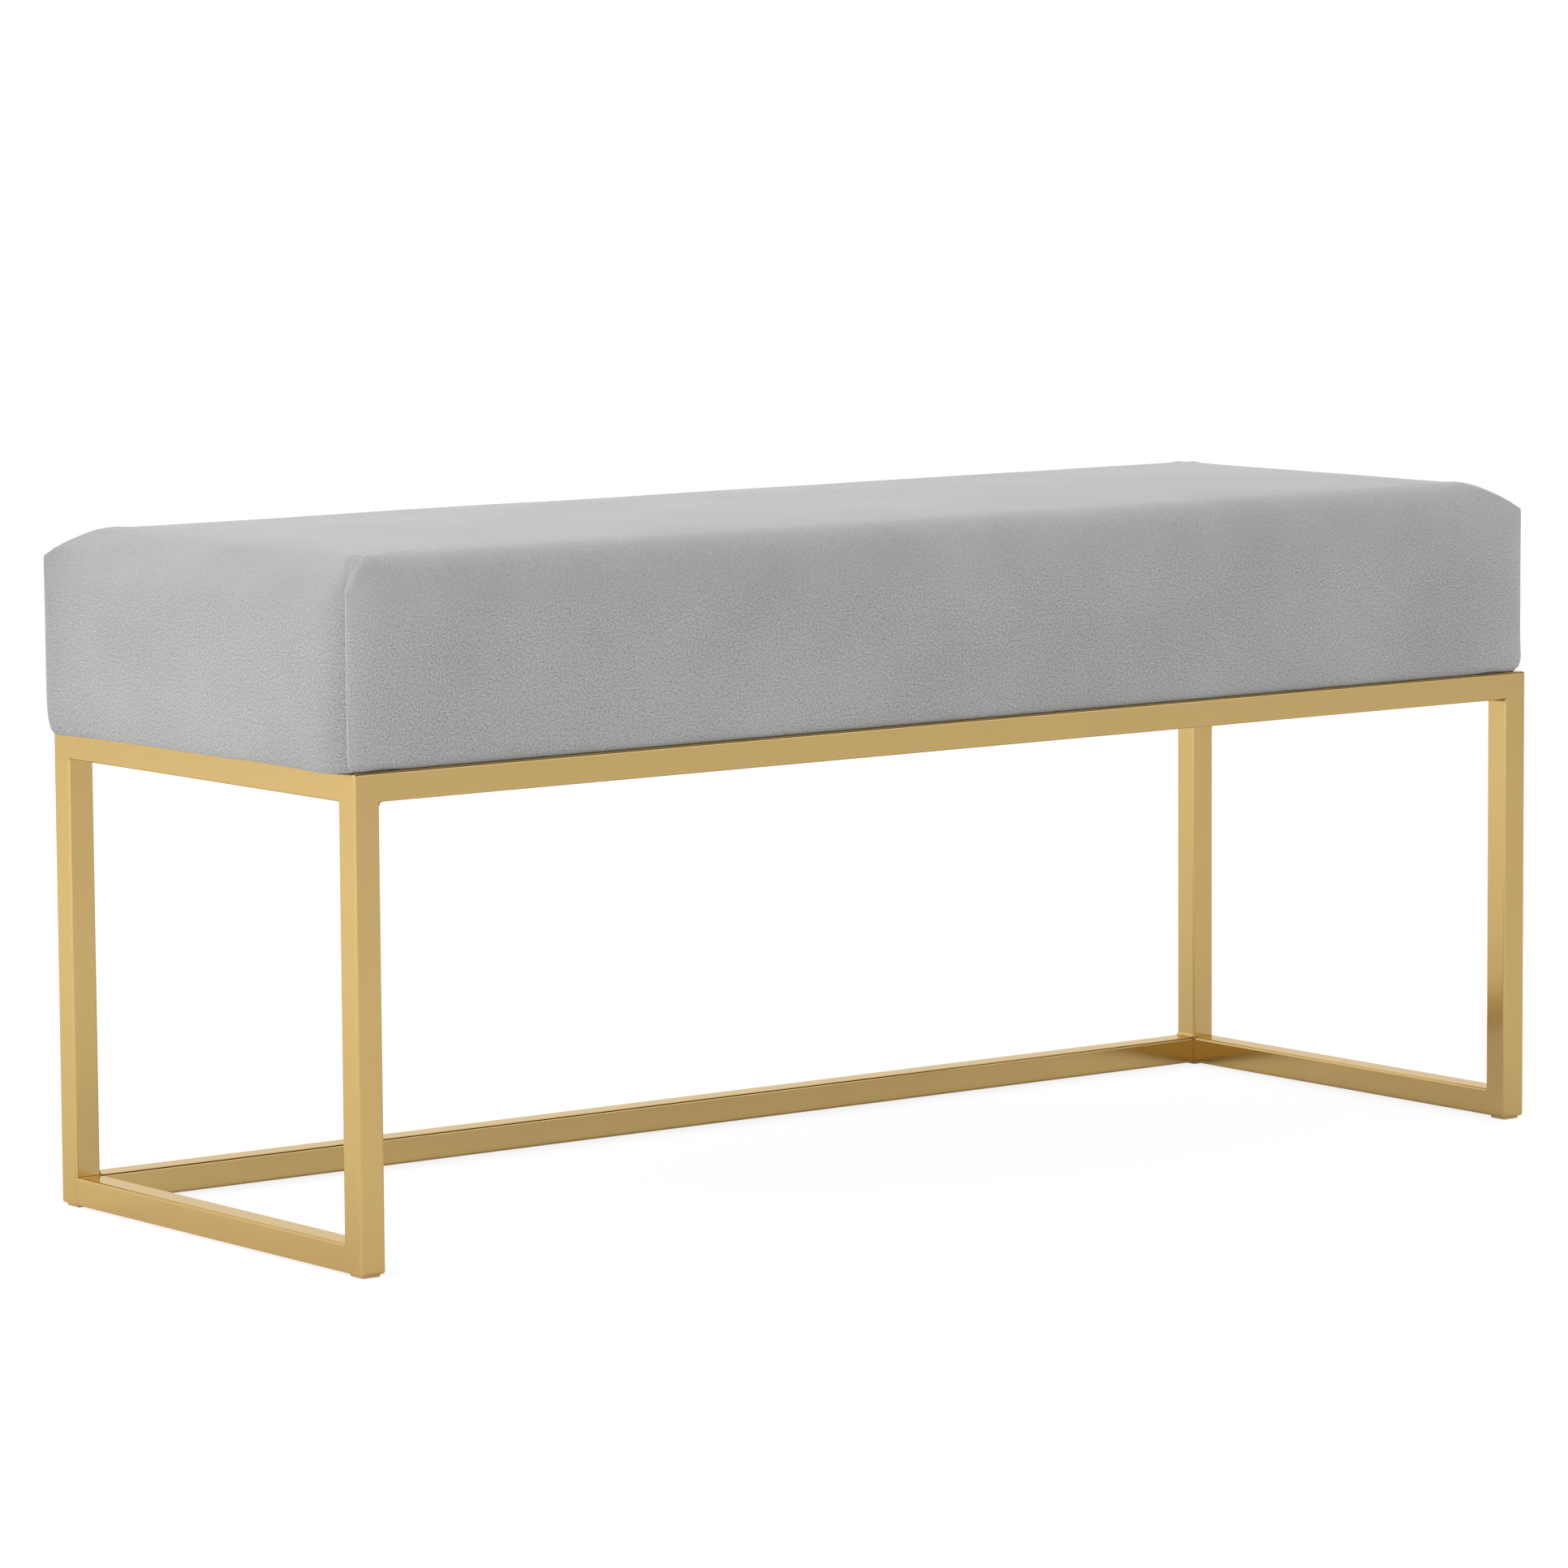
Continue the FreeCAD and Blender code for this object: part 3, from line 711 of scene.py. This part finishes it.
def brushed_nap_group():
    """Short pile that lies in brushed strokes: fine streaks along the cloth and cloudy patches, with
    painted shade and painted light beside the corner seams.
    """
    group, given, put = effect_group(
        "brushed_nap",
        (("Cloth Map", "Vector", None), ("Place", "Vector", None), ("Side Share", "Float", 1.0),
         ("Seam Painted Shade Light", "Float", 0.0), ("Painted Shade Light Contrast", "Float", 0.2),
         ("Dark Pile", "Color", (0.3, 0.3, 0.3, 1)), ("Light Pile", "Color", (0.5, 0.5, 0.5, 1)),
         ("Streak Width", "Float", 0.0012), ("Streak Stretch", "Float", 0.5),
         ("Streak Contrast", "Float", 1.0),
         ("Patch Size", "Float", 0.12), ("Patch Contrast", "Float", 1.0)),
        (("Color", "Color"), ("Height", "Float")))
    stretch = add_node(group, "CombineXYZ", {"X": 1.0, "Z": 1.0})
    stretched = add_node(group, "VectorMath")
    stretched.operation = "MULTIPLY"
    connect(group, (given["Streak Stretch"], stretch.inputs["Y"]),
            (given["Cloth Map"], stretched.inputs[0]), (stretch.outputs[0], stretched.inputs[1]))
    side_streaks = scaled_noise(group, stretched.outputs[0], given["Streak Width"], 1.5, 0.6)
    top_streaks = scaled_noise(group, given["Place"], given["Streak Width"], 1.0)
    patches = scaled_noise(group, given["Place"], given["Patch Size"], 3.0, 0.55)
    streaks = off_middle(group, side_streaks, given["Side Share"])
    quiet = off_middle(group, top_streaks, math_node(group, "SUBTRACT", 1.0, given["Side Share"]))
    quiet = math_node(group, "MULTIPLY", quiet, nap_top_grain)
    grain = math_node(group, "ADD", streaks, quiet)
    shade = math_node(group, "MULTIPLY", grain, given["Streak Contrast"])
    cloud = off_middle(group, patches, given["Patch Contrast"])
    # Painted shade and painted light beside the corner seams, added to the pile's tone
    painted_shade_light_share = math_node(group, "MULTIPLY_ADD", given["Seam Painted Shade Light"], given["Painted Shade Light Contrast"], 0.5)
    share = math_node(group, "ADD", math_node(group, "ADD", shade, cloud), painted_shade_light_share)
    colour = colour_mix(group, kept_as_share(group, share), given["Dark Pile"], given["Light Pile"])
    connect(group, (colour, put["Color"]), (grain, put["Height"]))
    return group


def mottled_group():
    """Surface of two close tones in soft blotches, with a fine grain for roughness and relief."""
    group, given, put = effect_group(
        "mottled_finish",
        (("Place", "Vector", None), ("Tone", "Color", (0.5, 0.5, 0.5, 1)),
         ("Other Tone", "Color", (0.6, 0.6, 0.6, 1)),
         ("Blotch Size", "Float", 0.05), ("Blotch Contrast", "Float", 1.0), ("Grain Size", "Float", 0.001),
         ("Roughness", "Float", 0.4), ("Roughness Spread", "Float", 0.1)),
        (("Color", "Color"), ("Roughness", "Float"), ("Height", "Float")))
    blotches = scaled_noise(group, given["Place"], given["Blotch Size"], 3.0)
    grain = scaled_noise(group, given["Place"], given["Grain Size"], 2.0)
    share = math_node(group, "SUBTRACT", blotches, 0.5)
    share = kept_as_share(group, math_node(group, "MULTIPLY_ADD", share, given["Blotch Contrast"], 0.5))
    colour = colour_mix(group, share, given["Tone"], given["Other Tone"])
    spread = off_middle(group, grain, given["Roughness Spread"])
    roughness = math_node(group, "ADD", spread, given["Roughness"])
    connect(group, (colour, put["Color"]), (roughness, put["Roughness"]), (grain, put["Height"]))
    return group


def new_material(name, **sockets):
    """Material with one Principled shader whose constants are set on its own sockets."""
    material = bpy.data.materials.new(name)
    material.use_nodes = True
    tree = material.node_tree
    shader = tree.nodes["Principled BSDF"]
    for label, value in sockets.items():
        shader.inputs[label.replace("_", " ")].default_value = value
    return material, tree, shader


def add_bump(tree, shader, height, strength, distance):
    """Relief from a height socket, fed to the shader's normal."""
    bump = add_node(tree, "Bump", {"Strength": strength, "Distance": distance})
    connect(tree, (height, bump.inputs["Height"]), (bump.outputs["Normal"], shader.inputs["Normal"]))


def object_place(tree):
    """Socket with the place on the piece, in metres."""
    return add_node(tree, "TexCoord").outputs["Object"]


def mottled_material(name, group, tones, blotch, grain, roughness, relief, **sockets):
    """Material of two close tones with grain; tones, blotch and roughness are pairs."""
    material, tree, shader = new_material(name, **sockets)
    effect = effect_node(tree, group, {
        "Tone": (*tones[0], 1), "Other Tone": (*tones[1], 1), "Blotch Size": blotch[0],
        "Blotch Contrast": blotch[1], "Grain Size": grain, "Roughness": roughness[0],
        "Roughness Spread": roughness[1]})
    connect(tree, (object_place(tree), effect.inputs["Place"]),
            (effect.outputs["Color"], shader.inputs["Base Color"]),
            (effect.outputs["Roughness"], shader.inputs["Roughness"]))
    add_bump(tree, shader, effect.outputs["Height"], *relief)
    return material


def velvet_material(group):
    """Grey velvet: short brushed pile with a sheen at its edges."""
    material, tree, shader = new_material(
        "velvet", Roughness=0.75, Sheen_Weight=0.34, Sheen_Roughness=0.45, Sheen_Tint=(1.0, 1.0, 1.0, 1),
        Specular_IOR_Level=0.15)
    effect = effect_node(tree, group, {
        "Dark Pile": (0.15, 0.15, 0.15, 1), "Light Pile": (0.54, 0.54, 0.539, 1),
        "Streak Width": 1.25 * MM, "Streak Stretch": 1.0, "Streak Contrast": 1.5,
        "Patch Size": 0.1, "Patch Contrast": 0.28, "Painted Shade Light Contrast": 0.18})
    cloth_map = add_node(tree, "UVMap")
    cloth_map.uv_map = "cloth"
    # Attributes: the grain's blend from top to sides, and the painted shade and light beside the corner
    # seams
    for label, name in (("Side Share", "side_share"), ("Seam Painted Shade Light", "seam_painted_shade_light")):
        painted = add_node(tree, "Attribute")
        painted.attribute_name = name
        tree.links.new(painted.outputs["Fac"], effect.inputs[label])
    connect(tree, (cloth_map.outputs[0], effect.inputs["Cloth Map"]),
            (object_place(tree), effect.inputs["Place"]),
            (effect.outputs["Color"], shader.inputs["Base Color"]))
    add_bump(tree, shader, effect.outputs["Height"], 0.3, 0.5 * MM)
    return material


def plywood_material(group):
    """Birch plywood: pale grain, with darker plies where the edge shows."""
    material = mottled_material(
        "plywood", group, ((0.56, 0.40, 0.24), (0.66, 0.50, 0.32)), (0.03, 2.0), 0.6 * MM,
        (0.7, 0.1), (0.15, 0.3 * MM))
    tree = material.node_tree
    shader = tree.nodes["Principled BSDF"]
    bands = 1 / (2 * math.pi * ply_thickness)
    plies = add_node(tree, "TexWave", {"Scale": bands, "Distortion": ply_waver})
    plies.bands_direction = "Z"
    darken = add_node(tree, "Mix", {0: ply_shade})
    darken.data_type = "RGBA"
    darken.blend_type = "MULTIPLY"
    source = shader.inputs["Base Color"].links[0].from_socket
    connect(tree, (object_place(tree), plies.inputs["Vector"]), (source, darken.inputs[6]),
            (plies.outputs["Color"], darken.inputs[7]), (darken.outputs[2], shader.inputs["Base Color"]))
    return material


def all_materials():
    """Every finish of the bench by its record slot."""
    mottled = mottled_group()
    return {
        "frame_gold": mottled_material(
            "satin_gold", mottled, ((0.610, 0.422, 0.164), (0.640, 0.448, 0.180)), (0.06, 1.2), 0.5 * MM,
            (0.16, 0.04), (0.03, 0.03 * MM), Metallic=1.0, Coat_Weight=0.08, Coat_Roughness=0.12,
            Specular_Tint=(0.97, 0.87, 0.68, 1)),
        "glide_plastic": mottled_material(
            "gold_nylon", mottled, ((0.560, 0.385, 0.170), (0.60, 0.42, 0.19)), (0.01, 1.5), 0.4 * MM,
            (0.45, 0.1), (0.15, 0.1 * MM)),
        "zinc_steel": mottled_material(
            "bright_zinc", mottled, ((0.55, 0.57, 0.6), (0.68, 0.69, 0.7)), (0.004, 2.0), 0.2 * MM,
            (0.32, 0.15), (0.1, 0.05 * MM), Metallic=1.0),
        "plywood": plywood_material(mottled),
        "foam": mottled_material(
            "cut_foam", mottled, ((0.80, 0.74, 0.56), (0.86, 0.81, 0.64)), (0.02, 1.5), 1.2 * MM,
            (0.9, 0.05), (0.7, 0.8 * MM)),
        "wadding": mottled_material(
            "fibre_wadding", mottled, ((0.82, 0.82, 0.80), (0.90, 0.90, 0.89)), (0.015, 2.0), 0.9 * MM,
            (0.95, 0.05), (0.8, 1.0 * MM), Sheen_Weight=0.3),
        "velvet": velvet_material(brushed_nap_group()),
        "seam_thread": mottled_material(
            "seam_thread", mottled, ((0.46, 0.46, 0.46), (0.57, 0.57, 0.57)), (0.004, 2.0), 0.3 * MM,
            (0.8, 0.1), (0.4, 0.2 * MM), Sheen_Weight=0.3),
        "dust_cloth": mottled_material(
            "black_dust_cloth", mottled, ((0.012, 0.012, 0.013), (0.028, 0.028, 0.030)), (0.0025, 3.0),
            0.4 * MM, (0.85, 0.1), (0.4, 0.15 * MM), Specular_IOR_Level=0.3),
    }


def dress_frame(materials):
    """Gives every carried-over solid the finish of its record slot."""
    for part in frame["record"]["subparts"]:
        node = frame["nodes"][part["node"]]
        for slot in node.material_slots:
            slot.material = materials[part["material_slot"]]


def thicken(piece, name, thickness):
    """Gives a skin its thickness, inwards."""
    shell = piece.modifiers.new(name, "SOLIDIFY")
    shell.thickness = thickness
    shell.offset = -1


def velvet_cover_piece(materials, settled):
    """The sewn velvet cover, which stands for the plain one."""
    mesh, seams = sewn_cover(settled)
    cover = add_piece("velvet_cover_sewn", mesh, materials["velvet"])
    thicken(cover, "cloth_thickness", cloth_thickness)
    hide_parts("velvet_cover")
    return seams


def inner_layer(inset, settled):
    """Skin of a layer inside the cover, from the board's top up, that has settled with the cover."""
    form = PadForm(layer_spacing, settle_side_inset + inset, settle_top_inset + inset)
    above_board = [row for row, station in enumerate(form.stations) if station[0] > board_top - pad_bottom]
    ring_move, top_move = form.spread(*settled)
    form.ring = (form.ring + ring_move)[above_board[0]:]
    form.ring[0, :, 2] = board_top + layer_gap
    form.top = form.top + top_move
    form.ring = shifted(form.ring)
    form.top = shifted(form.top)
    return form


def pad_filling(materials, settled):
    """Foam block and the wadding wrapped round it, which stand for the plain ones."""
    wadding_skin = inner_layer(wadding_inset, settled).mesh("wadding_wrap", closed=False)
    wadding = add_piece("wadding_wrap", wadding_skin, materials["wadding"])
    thicken(wadding, "wadding_thickness", wadding_thickness)
    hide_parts("wadding_layer")
    foam_skin = inner_layer(foam_inset, settled).mesh("foam_core", closed=True)
    foam = add_piece("foam_core", foam_skin, materials["foam"])
    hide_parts("foam_block")


def screw_places():
    """Where the seat screws stand in plan: the middles of the four tabs' screw heads."""
    heads = frame["nodes"]["seat_screws"].data.vertices
    places = []
    for sign_x in (-1, 1):
        for sign_y in (-1, 1):
            own = [vertex.co for vertex in heads if vertex.co.x * sign_x > 0 and vertex.co.y * sign_y > 0]
            places.append(Vector((sum(co.x for co in own) / len(own), sum(co.y for co in own) / len(own))))
    return places


def dust_point(x, y):
    """Point of the dust cover, which hangs a little slack in its middle."""
    slack = max(0.0, 1 - (y / dust_free_half) ** 2)
    ripple = noise.noise(Vector((x * dust_ripples_x, y * dust_ripples_y, 0.3)))
    level = (dust_low.z + dust_high.z) / 2
    return x, y, level - dust_sag * slack * (1 - dust_ripple + dust_ripple * ripple)


def dust_cover_sheet(materials):
    """Thin black cloth stapled under the board, slack in the middle and holed where the screws pass."""
    width, depth = dust_high.x - dust_low.x, dust_high.y - dust_low.y
    count_x, count_y = round(width / dust_spacing), round(depth / dust_spacing)
    points = [dust_point(dust_low.x + width * column / count_x, dust_low.y + depth * row / count_y)
              for row in range(count_y + 1) for column in range(count_x + 1)]
    holes = screw_places()
    faces = []
    for quad in grid_quads(count_y, count_x):
        face = [row * (count_x + 1) + column for row, column in quad]
        middle = (Vector(points[face[0]][:2]) + Vector(points[face[2]][:2])) / 2
        if min((middle - hole).length for hole in holes) > screw_hole_reach:
            faces.append(face)
    mesh = new_mesh("dust_cloth_sheet", points, faces)
    tidy = bmesh.new()
    tidy.from_mesh(mesh)
    bmesh.ops.delete(tidy, geom=[vertex for vertex in tidy.verts if not vertex.link_faces], context="VERTS")
    tidy.to_mesh(mesh)
    tidy.free()
    sheet = add_piece("dust_cloth_sheet", mesh, materials["dust_cloth"])
    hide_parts("dust_cover")


def staple_tree(material):
    """Row of staples: one flat crown every so far along each line."""
    tree = bpy.data.node_groups.new("staple_row", "GeometryNodeTree")
    tree.interface.new_socket("Geometry", in_out="INPUT", socket_type="NodeSocketGeometry")
    for label, value in (("Spacing", staple_spacing), ("Crown Width", staple_width), ("Wire", staple_wire)):
        socket = tree.interface.new_socket(label, in_out="INPUT", socket_type="NodeSocketFloat")
        socket.default_value = value
    tree.interface.new_socket("Geometry", in_out="OUTPUT", socket_type="NodeSocketGeometry")
    given, put = (tree.nodes.new(kind) for kind in ("NodeGroupInput", "NodeGroupOutput"))
    kinds = ("MeshToCurve", "ResampleCurve", "InputTangent", "MeshCube", "InstanceOnPoints",
             "RealizeInstances", "SetMaterial")
    nodes = [tree.nodes.new("GeometryNode" + kind) for kind in kinds]
    line, spaced, tangent, crown_bar, placed, real, painted = nodes
    spaced.mode = "LENGTH"
    painted.inputs["Material"].default_value = material
    size = add_node(tree, "CombineXYZ")
    aligned = tree.nodes.new("FunctionNodeAlignRotationToVector")
    aligned.axis = "X"
    connect(tree, (given.outputs["Geometry"], line.inputs[0]), (line.outputs[0], spaced.inputs["Curve"]),
            (given.outputs["Spacing"], spaced.inputs["Length"]),
            (spaced.outputs[0], placed.inputs["Points"]),
            (given.outputs["Crown Width"], size.inputs["X"]), (given.outputs["Wire"], size.inputs["Y"]),
            (given.outputs["Wire"], size.inputs["Z"]), (size.outputs[0], crown_bar.inputs["Size"]),
            (crown_bar.outputs["Mesh"], placed.inputs["Instance"]),
            (tangent.outputs[0], aligned.inputs["Vector"]),
            (aligned.outputs[0], placed.inputs["Rotation"]), (placed.outputs[0], real.inputs[0]),
            (real.outputs[0], painted.inputs["Geometry"]), (painted.outputs[0], put.inputs["Geometry"]))
    return tree


def staples(materials):
    """Staples that hold the dust cover to the board, with none over the tabs."""
    low = dust_low.xy + Vector((staple_edge, staple_edge))
    high = dust_high.xy - Vector((staple_edge, staple_edge))
    level = dust_low.z - staple_wire / 4
    tab_x = max(place.x for place in screw_places())
    breaks = (low.x, -tab_x - tab_clear, -tab_x + tab_clear, tab_x - tab_clear, tab_x + tab_clear, high.x)
    lines = [((breaks[step], y), (breaks[step + 1], y)) for y in (low.y, high.y) for step in (0, 2, 4)]
    lines += [((x, low.y + staple_spacing), (x, high.y - staple_spacing)) for x in (low.x, high.x)]
    points = [(*end, level) for line in lines for end in line]
    edges = [(2 * index, 2 * index + 1) for index in range(len(lines))]
    guide = new_object("staple_guide", new_mesh("staple_guide", points, [], edges))
    rows = guide.modifiers.new("staple_row", "NODES")
    rows.node_group = staple_tree(materials["zinc_steel"])
    mesh = baked(guide, "dust_cover_staples")
    bpy.data.objects.remove(guide)
    piece = add_piece("dust_cover_staples", mesh, materials["zinc_steel"])
    piece.data.polygons.foreach_set("use_smooth", [False] * len(piece.data.polygons))


def tube_along(points, radii, sides):
    """Points and faces of a round tube that follows a line of points."""
    line = np.asarray(points, float)
    ahead = np.gradient(line, axis=0)
    ahead /= np.linalg.norm(ahead, axis=1, keepdims=True)
    guide = np.array((0.0, 0.0, 1.0)) if abs(ahead[0][2]) < 0.8 else np.array((1.0, 0.0, 0.0))
    across = np.cross(ahead, guide)
    across /= np.linalg.norm(across, axis=1, keepdims=True)
    other = np.cross(ahead, across)
    turns = np.arange(sides) / sides * 2 * math.pi
    rings = [centre + radius * (math.cos(turn) * one + math.sin(turn) * two)
             for centre, radius, one, two in zip(line, radii, across, other) for turn in turns]
    faces = []
    for row in range(len(line) - 1):
        for side in range(sides):
            following = (side + 1) % sides
            faces.append((row * sides + side, (row + 1) * sides + side, (row + 1) * sides + following,
                          row * sides + following))
    faces.append(tuple(range(sides)))
    faces.append(tuple(range((len(line) - 1) * sides, len(line) * sides))[::-1])
    return rings, faces


def joined_tubes(name, runs, sides):
    """Mesh of several tubes, each given as its points and radii."""
    points, faces = [], []
    for line, radii in runs:
        tube_points, tube_faces = tube_along(line, radii, sides)
        faces += [tuple(index + len(points) for index in face) for face in tube_faces]
        points += [tuple(point) for point in tube_points]
    return new_mesh(name, points, faces)


def corner_threads(materials, seams):
    """Thread that shows in the valley of each corner seam, from the lower fold to the seam's point."""
    lowest = pad_bottom + thread_from
    highest = pad_rim - corner_drop + thread_past_point
    runs = []
    for seam in seams:
        shown = np.array([point for point in seam if lowest < point[2] < highest])
        inward = -np.sign(shown[:, :2] - (pad_shift_x, pad_shift_y))
        shown[:, :2] += inward * thread_sink
        runs.append((shown, [thread_radius] * len(shown)))
    add_piece("corner_seam_threads", joined_tubes("corner_seam_threads", runs, thread_sides),
              materials["seam_thread"])


def tab_welds(materials):
    """Rippled weld bead under the root of each seat tab, where it meets the rail."""
    runs = []
    for name in ("seat_tab_front_1", "seat_tab_front_2", "seat_tab_back_1", "seat_tab_back_2"):
        low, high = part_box(name)
        rail_face = low.y if low.y + high.y < 0 else high.y
        middle = (low.x + high.x) / 2
        line, radii = [], []
        for step in range(bead_steps + 1):
            along = (step / bead_steps - 0.5) * bead_length
            fade = math.sqrt(max(0.0, 1 - (2 * along / bead_length) ** 4))
            ripple = bead_ripple * abs(math.sin(along / bead_ripple_spacing * math.pi))
            line.append((middle + along, rail_face, low.z))
            radii.append(max(bead_least, (bead_radius - ripple) * fade))
        runs.append((line, radii))
    mesh = joined_tubes("seat_tab_welds", runs, bead_sides)
    add_piece("seat_tab_welds", mesh, materials["frame_gold"])


def camera():
    """Camera that stands where the photograph was taken."""
    yaw, pitch, roll = (math.radians(angle) for angle in (camera_yaw, camera_pitch, camera_roll))
    ahead = Vector((math.sin(yaw) * math.cos(pitch), math.cos(yaw) * math.cos(pitch), math.sin(pitch)))
    right = Vector((math.cos(yaw), -math.sin(yaw), 0))
    up = right.cross(ahead)
    rolled_right = math.cos(roll) * right + math.sin(roll) * up
    rolled_up = math.cos(roll) * up - math.sin(roll) * right
    made = new_object("camera", bpy.data.cameras.new("camera"))
    made.data.lens = camera_lens
    made.data.sensor_width = camera_sensor
    made.data.clip_start = 0.1
    made.data.clip_end = 60
    turned = Matrix((rolled_right, rolled_up, -ahead)).transposed().to_4x4()
    made.matrix_world = Matrix.Translation(camera_place) @ turned
    bpy.context.scene.camera = made


def softbox(name, place, size, watts):
    """Soft lamp that faces the middle of the seat."""
    lamp = bpy.data.lights.new(name, "AREA")
    lamp.shape = "RECTANGLE"
    lamp.size, lamp.size_y = size
    lamp.energy = watts
    made = new_object(name, lamp)
    made.location = place
    aim = Vector(lamp_aim) - Vector(place)
    made.rotation_euler = aim.to_track_quat("-Z", "Y").to_euler()
    made.visible_camera = False


def along_slope(tree, place, slope):
    """How far a place lies along a slope, as a value socket."""
    node = add_node(tree, "VectorMath", {1: slope})
    node.operation = "DOT_PRODUCT"
    tree.links.new(place, node.inputs[0])
    return node.outputs["Value"]


def dark_ceiling_front(tree, direction):
    """How much darker gloss sees the room high up in front of the bench, where no softbox hangs."""
    parts = add_node(tree, "SeparateXYZ")
    tree.links.new(direction, parts.inputs[0])
    limits = (("Z", gloss_dark_from, gloss_dark_from + gloss_dark_fade),
              ("Z", gloss_dark_to + gloss_dark_rim, gloss_dark_to),
              ("Y", gloss_dark_rim, -gloss_dark_fade))
    share = gloss_dark_level
    for axis, none_at, full_at in limits:
        eased = add_node(tree, "MapRange", {"From Min": none_at, "From Max": full_at})
        eased.interpolation_type = "SMOOTHSTEP"
        tree.links.new(parts.outputs[axis], eased.inputs["Value"])
        share = math_node(tree, "MULTIPLY", eased.outputs[0], share)
    return share


def studio():
    """White room: even light from all round, three soft lamps and a pale floor that keeps the shadow."""
    world = bpy.data.worlds.new("studio")
    bpy.context.scene.world = world
    world.use_nodes = True
    tree = world.node_tree
    background = tree.nodes["Background"]
    background.inputs["Color"].default_value = (1, 1, 1, 1)
    rays = add_node(tree, "LightPath").outputs
    direction = add_node(tree, "TexCoord").outputs["Generated"]
    sloped = along_slope(tree, direction, gloss_slope)
    gloss = math_node(tree, "SUBTRACT", sloped, dark_ceiling_front(tree, direction))
    shaped = math_node(tree, "MULTIPLY", rays["Is Glossy Ray"], gloss)
    seen = math_node(tree, "MAXIMUM", rays["Is Camera Ray"], rays["Is Transmission Ray"])
    white = math_node(tree, "MULTIPLY", seen, 1 - world_level)
    strength = math_node(tree, "ADD", math_node(tree, "ADD", white, shaped), world_level)
    connect(tree, (strength, background.inputs["Strength"]))
    for lamp in soft_lamps:
        softbox(*lamp)
    corners = ((-1, -1), (1, -1), (1, 1), (-1, 1))
    points = [(x * floor_size, y * floor_size, floor_level) for x, y in corners]
    floor = new_object("floor", new_mesh("floor", points, [(0, 1, 2, 3)]))
    floor.data.materials.append(floor_material())


def graded_glow(tree, level):
    """Glow of the floor in gloss: it fades from the back left, near the softbox, to the front right."""
    graded = math_node(tree, "ADD", along_slope(tree, object_place(tree), floor_gloss_slope), level)
    return math_node(tree, "MINIMUM", math_node(tree, "MAXIMUM", graded, 0.0), level + floor_gloss_most)


def floor_material():
    """Pale floor: white to the camera, greyer in gloss and shadow, plain for the light it returns."""
    material = bpy.data.materials.new("pale_floor")
    material.use_nodes = True
    tree = material.node_tree
    tree.nodes.remove(tree.nodes["Principled BSDF"])
    rays = add_node(tree, "LightPath").outputs
    looks = (("Is Camera Ray", floor_glow, floor_shadow_share),
             ("Is Glossy Ray", floor_gloss_glow, floor_gloss_share))
    latest = add_node(tree, "BsdfDiffuse", {"Color": floor_colour}).outputs[0]
    for ray, glow_level, shadow_share in looks:
        matt = add_node(tree, "BsdfDiffuse", {"Color": (shadow_share, shadow_share, shadow_share, 1)})
        glow = add_node(tree, "Emission", {"Strength": glow_level})
        if ray == "Is Glossy Ray":
            tree.links.new(graded_glow(tree, glow_level), glow.inputs["Strength"])
        shown = add_node(tree, "AddShader")
        mix = add_node(tree, "MixShader")
        connect(tree, (matt.outputs[0], shown.inputs[0]), (glow.outputs[0], shown.inputs[1]),
                (rays[ray], mix.inputs[0]), (latest, mix.inputs[1]), (shown.outputs[0], mix.inputs[2]))
        latest = mix.outputs[0]
    connect(tree, (latest, tree.nodes["Material Output"].inputs["Surface"]))
    return material


def dress_bench():
    """Builds the whole scene."""
    bpy.context.scene.view_settings.view_transform = "Standard"
    camera()
    materials = all_materials()
    dress_frame(materials)
    settled = settled_moves()
    seams = velvet_cover_piece(materials, settled)
    pad_filling(materials, settled)
    corner_threads(materials, seams)
    dust_cover_sheet(materials)
    staples(materials)
    tab_welds(materials)
    studio()


dress_bench()
